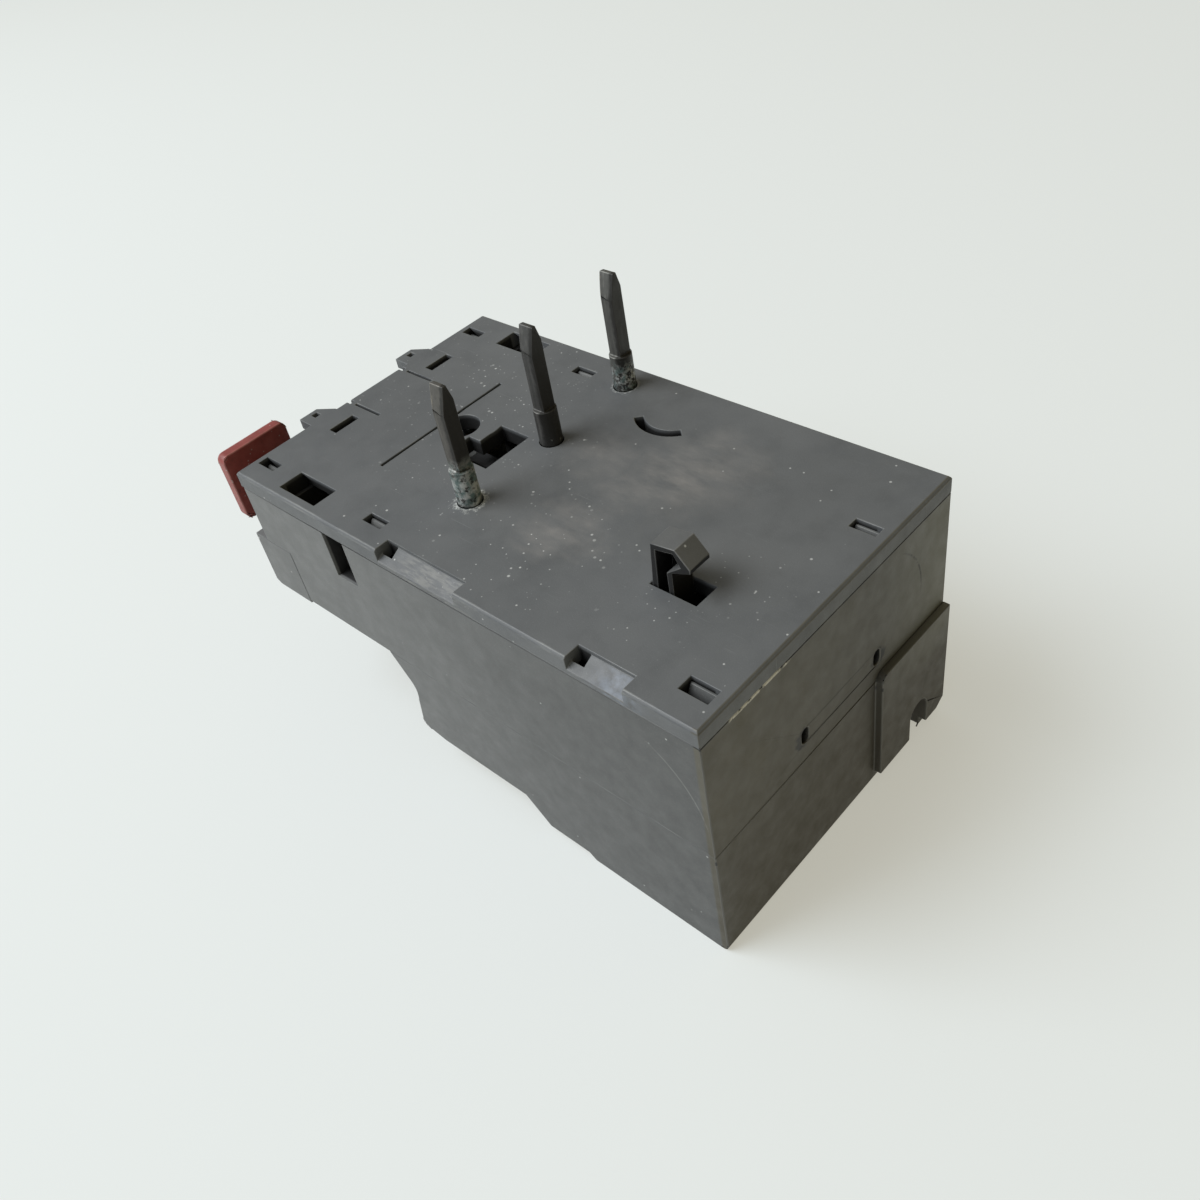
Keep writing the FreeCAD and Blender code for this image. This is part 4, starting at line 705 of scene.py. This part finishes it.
# Painted shade: faces that do not look up are coloured dark.
open_to_light = hook.times(hook.facing((0, 0, 1), 0.15, 0.35), hook.ramp(hook.z, -0.2, 0.6))
hook.colour(hook.mix(open_to_light, SHADE_AND_SEAM_BLACK, hook.tone))
hook_edge = rubbed_highlit_edge("hook_edge", (0.07, 0.072, 0.072), (0.16, 0.16, 0.155))
rounded("hook_latch", "plate_hook", 0.10, hook, hook_edge)

# %% [markdown]
# ## Stop button
# The button is a brick-red flange. Its colour has faded unevenly, its rim is paler, partly rubbed and
# partly a painted highlight, and grime darkens it.


# %% Stop button
def coloured_plastic(name, base, faded, grime, roughness=0.42):
    s = Surface(name, roughness=roughness, specular=0.45)
    fade_and_falloff = s.ramp(s.noise(0.3, 4.0, 0.6), 0.35, 0.7)
    dirt_and_shade = s.ramp(s.noise(1.1, 5.0, 0.7), 0.5, 0.75)
    tone = s.mix(fade_and_falloff, base, faded)
    tone = s.mix(s.times(dirt_and_shade, 0.6), tone, grime)
    specks = s.flecks(0.8, 0.25, 0.16)
    s.colour(s.mix(s.times(specks, 0.4), tone, WHITE_DUST))
    s.feed(s.shader.inputs["Roughness"], s.ramp(dirt_and_shade, 0.0, 1.0, roughness, roughness + 0.15))
    s.bump(s.noise(4.0, 3.0, 0.6), 0.015, 0.4)
    return s


red = coloured_plastic("red_plastic", (0.235, 0.050, 0.042), (0.30, 0.085, 0.072), (0.11, 0.035, 0.030))
# The edge copy is paler: partly rubbed, partly a painted highlight.
red_edge = coloured_plastic("red_edge", (0.30, 0.09, 0.078), (0.38, 0.16, 0.145), (0.16, 0.05, 0.045))
rounded("stop_button", "stop_flange", 0.22, red, red_edge, segments=3)

# %% [markdown]
# ## Line pins
# The pins are tarnished. Their front sides are rubbed to a dull grey, their rear sides are painted dark as
# shade, their edges are paler, partly rubbed and partly a painted highlight, and the roots carry white and
# green salts, most on the first pin. The metal's roughness follows the tarnish.


# %% Line pins
def pin_metal(name, salts, top_of_salts, bright):
    s = Surface(name, roughness=0.45, metallic=0.35)
    tarnish = s.ramp(s.noise(0.9, 5.0, 0.65, s.mapped((1000, 1000, 420))), 0.35, 0.68)
    tone = s.mix(tarnish, tuple(0.62 * c for c in bright), bright)
    streak = s.ramp(s.noise(1.0, 3.0, 0.5, s.mapped((2200, 2200, 160))), 0.52, 0.68)
    tone = s.mix(s.times(streak, 0.45), tone, tuple(1.7 * c for c in bright))
    # Painted shade: the rear side of each pin is coloured dark.
    pin_rear_shade = s.ramp(s.math("ADD", s.x, s.ramp(s.noise(1.2, 3.0), 0.3, 0.7, -0.15, 0.15)), 0.15, 0.55, 0.0, 0.86)
    tone = s.mix(pin_rear_shade, tone, (0.016, 0.015, 0.013))
    beige = s.times(s.ramp(s.x, -1.15, -0.85, 1.0, 0.0), s.ramp(s.noise(0.6, 4.0), 0.5, 0.62), salts)
    tone = s.mix(s.times(beige, 0.6), tone, (0.33, 0.29, 0.22))
    low = s.ramp(s.z, 0.5 * top_of_salts, top_of_salts, 1.0, 0.0)
    grown = s.times(low, s.ramp(s.noise(1.5, 5.0, 0.72), 0.62 - 0.24 * salts, 0.72 - 0.24 * salts))
    green = s.mix(s.ramp(s.noise(1.1, 3.0), 0.42, 0.6), (0.17, 0.24, 0.23), (0.60, 0.62, 0.60))
    tone = s.mix(s.times(grown, 0.85), tone, green)
    root = s.ramp(s.z, 0.1, 1.6, 0.8, 0.0)
    tone = s.mix(s.times(root, s.ramp(s.noise(0.9, 3.0), 0.35, 0.6)), tone, (0.03, 0.03, 0.028))
    s.colour(tone)
    s.feed(s.shader.inputs["Roughness"], s.ramp(tarnish, 0.0, 1.0, 0.56, 0.42))
    s.bump(s.noise(3.0, 4.0, 0.65), 0.03, 0.5)
    s.bump(grown, 0.08, 0.8)
    return s


PIN_FINISHES = (
    (1, 1.0, 6.8, (0.105, 0.100, 0.090)),
    (2, 0.05, 1.5, (0.078, 0.077, 0.073)),
    (3, 0.7, 4.6, (0.120, 0.120, 0.110)),
)
for number, salts, height, bright in PIN_FINISHES:
    metal = pin_metal(f"pin_metal_{number}", salts, height, bright)
    # The edge copy is paler: partly rubbed, partly a painted highlight.
    edge = pin_metal(f"pin_edge_{number}", salts, height, tuple(1.8 * c for c in bright))
    rounded(f"line_pin_{number}", f"line_pin_{number}_blade", 0.09, metal, edge, angle=PIN_EDGE_ANGLE)

# %% [markdown]
# ## Operator's front
# The front carries a blue reset button, a white setting dial under a clear hinged cover, and a white
# selector.

# %% Operator's front
blue = coloured_plastic("blue_plastic", (0.030, 0.075, 0.22), (0.06, 0.12, 0.28), (0.02, 0.04, 0.10))
# The edge copy is paler: partly rubbed, partly a painted highlight.
blue_edge = coloured_plastic("blue_edge", (0.06, 0.12, 0.28), (0.12, 0.19, 0.36), (0.03, 0.06, 0.14))
white = coloured_plastic("white_plastic", (0.66, 0.65, 0.60), (0.72, 0.71, 0.67), (0.42, 0.40, 0.34))
rounded("reset_button", "reset_cap", 0.2, blue, blue_edge, segments=3)
rounded("setting_dial", "dial_disc", 0.1, white, white)
rounded("mode_selector", "selector_disc", 0.1, white, white)


def clear_plastic():
    s = Surface("clear_plastic", roughness=0.12)
    s.shader.inputs["Transmission Weight"].default_value = 1.0
    s.shader.inputs["IOR"].default_value = 1.49
    haze = s.ramp(s.noise(0.6, 5.0, 0.7), 0.4, 0.75)
    s.colour(s.mix(haze, (0.90, 0.92, 0.92), (0.74, 0.76, 0.74)))
    s.feed(s.shader.inputs["Roughness"], s.ramp(haze, 0.0, 1.0, 0.10, 0.34))
    s.bump(s.scratches((0.4, 0, 0)), -0.01, 0.5)
    return s


clear = clear_plastic()
rounded("dial_cover", "dial_window", 0.12, clear, clear)

# %% [markdown]
# ## Metal inside and at the terminals
# Screws are zinc plated, straps are tinned copper, terminals are brass. Each is brushed or drawn in one
# direction, with dull blotches, so one helper makes them all from a bright colour, a dull colour and a
# brushing direction.


# %% Metals
def worked_metal(name, bright, dull, brush=(1400, 200, 1400), roughness=0.32):
    s = Surface(name, roughness=roughness, metallic=0.9)
    blotch = s.ramp(s.noise(0.8, 5.0, 0.65), 0.38, 0.68)
    grain = s.noise(1.0, 3.0, 0.6, s.mapped(brush))
    tone = s.mix(blotch, bright, dull)
    s.colour(s.mix(s.ramp(grain, 0.4, 0.7, 0.0, 0.35), tone, tuple(0.6 * c for c in dull)))
    s.feed(s.shader.inputs["Roughness"], s.ramp(blotch, 0.0, 1.0, roughness, roughness + 0.2))
    s.bump(grain, 0.01, 0.5)
    return s


copper = worked_metal("copper_strap", (0.62, 0.40, 0.27), (0.38, 0.23, 0.15))
bimetal = worked_metal("bimetal", (0.50, 0.48, 0.45), (0.33, 0.31, 0.29), (300, 1500, 200))
heated = worked_metal("heater_ribbon", (0.33, 0.29, 0.25), (0.16, 0.13, 0.12), (900, 900, 300), 0.42)
zinc = worked_metal("screw_steel", (0.62, 0.61, 0.56), (0.42, 0.41, 0.36), (300, 1600, 300))
spring = worked_metal("spring_steel", (0.45, 0.45, 0.46), (0.28, 0.28, 0.28), (600, 1800, 1800))
brass = worked_metal("contact_metal", (0.62, 0.50, 0.28), (0.40, 0.31, 0.17))
finish_nodes([f"line_strap_{k}" for k in POLES] + [f"load_strap_{k}" for k in POLES], copper)
finish_nodes([f"bimetal_strip_{k}" for k in POLES] + ["compensating_strip"], bimetal)
finish_nodes([f"heater_winding_{k}" for k in POLES], heated)
finish_nodes(["load_screws", "load_saddles", "aux_screws", "aux_saddles"], zinc)
finish_nodes([f"aux_terminal_{k}" for k in (1, 2, 3, 4)] + ["nc_contact_arm", "no_contact_arm"], brass)

# %% [markdown]
# ## Button springs
# Each spring sits between the case and its button, and shortens as the button is pressed. A rigid copy
# would be run through by the button, and here the spring is such a copy: smoothly shaded, with a mesh of
# its own, moving with its body.

# %% Button springs
COIL_ANGLE = math.radians(40)


def button_spring(node, name):
    piece = merged_copy(node, name, (spring,), joined=False)
    bpy.ops.object.shade_smooth_by_angle(angle=COIL_ANGLE)
    stand_for(piece, node)
    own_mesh(piece)


button_spring("stop_spring", "stop_coil")
button_spring("reset_spring", "reset_coil")

# %% [markdown]
# ## Woven sleeves and mechanism mouldings
# A sleeve of woven glass insulates each bimetal strip: two crossed waves give the weave. The trip
# mechanism is painted dark as shade, with a light bloom of dust, and its flag is white.


# %% Sleeves and mechanism
def woven_glass():
    s = Surface("insulation", roughness=0.8, specular=0.3)
    warp = s.math("SINE", s.times(s.z, 9.0))
    weft = s.math("SINE", s.times(s.math("ADD", s.x, s.y), 9.0))
    weave = s.ramp(s.times(warp, weft), -1.0, 1.0)
    tone = s.mix(weave, (0.50, 0.46, 0.37), (0.74, 0.71, 0.62))
    s.colour(s.mix(s.ramp(s.noise(0.4, 4.0), 0.5, 0.75), tone, (0.38, 0.31, 0.22)))
    s.bump(weave, 0.06, 0.7)
    return s


finish_nodes([f"heater_sleeve_{k}" for k in POLES], woven_glass())
# Painted shade: the mechanism behind the openings is coloured dark.
painted_shade_black = moulded_plastic("mechanism_plastic", (0.020, 0.021, 0.022), (0.034, 0.035, 0.036), roughness=0.45)
painted_shade_black.colour(painted_shade_black.tone)
finish_nodes(["trip_slide", "differential_slide", "differential_lever", "stop_plunger"], painted_shade_black)
finish_nodes(["trip_lever", "trip_rocker"], painted_shade_black)
finish_nodes(["trip_flag"], white)
print("mechanism finished")
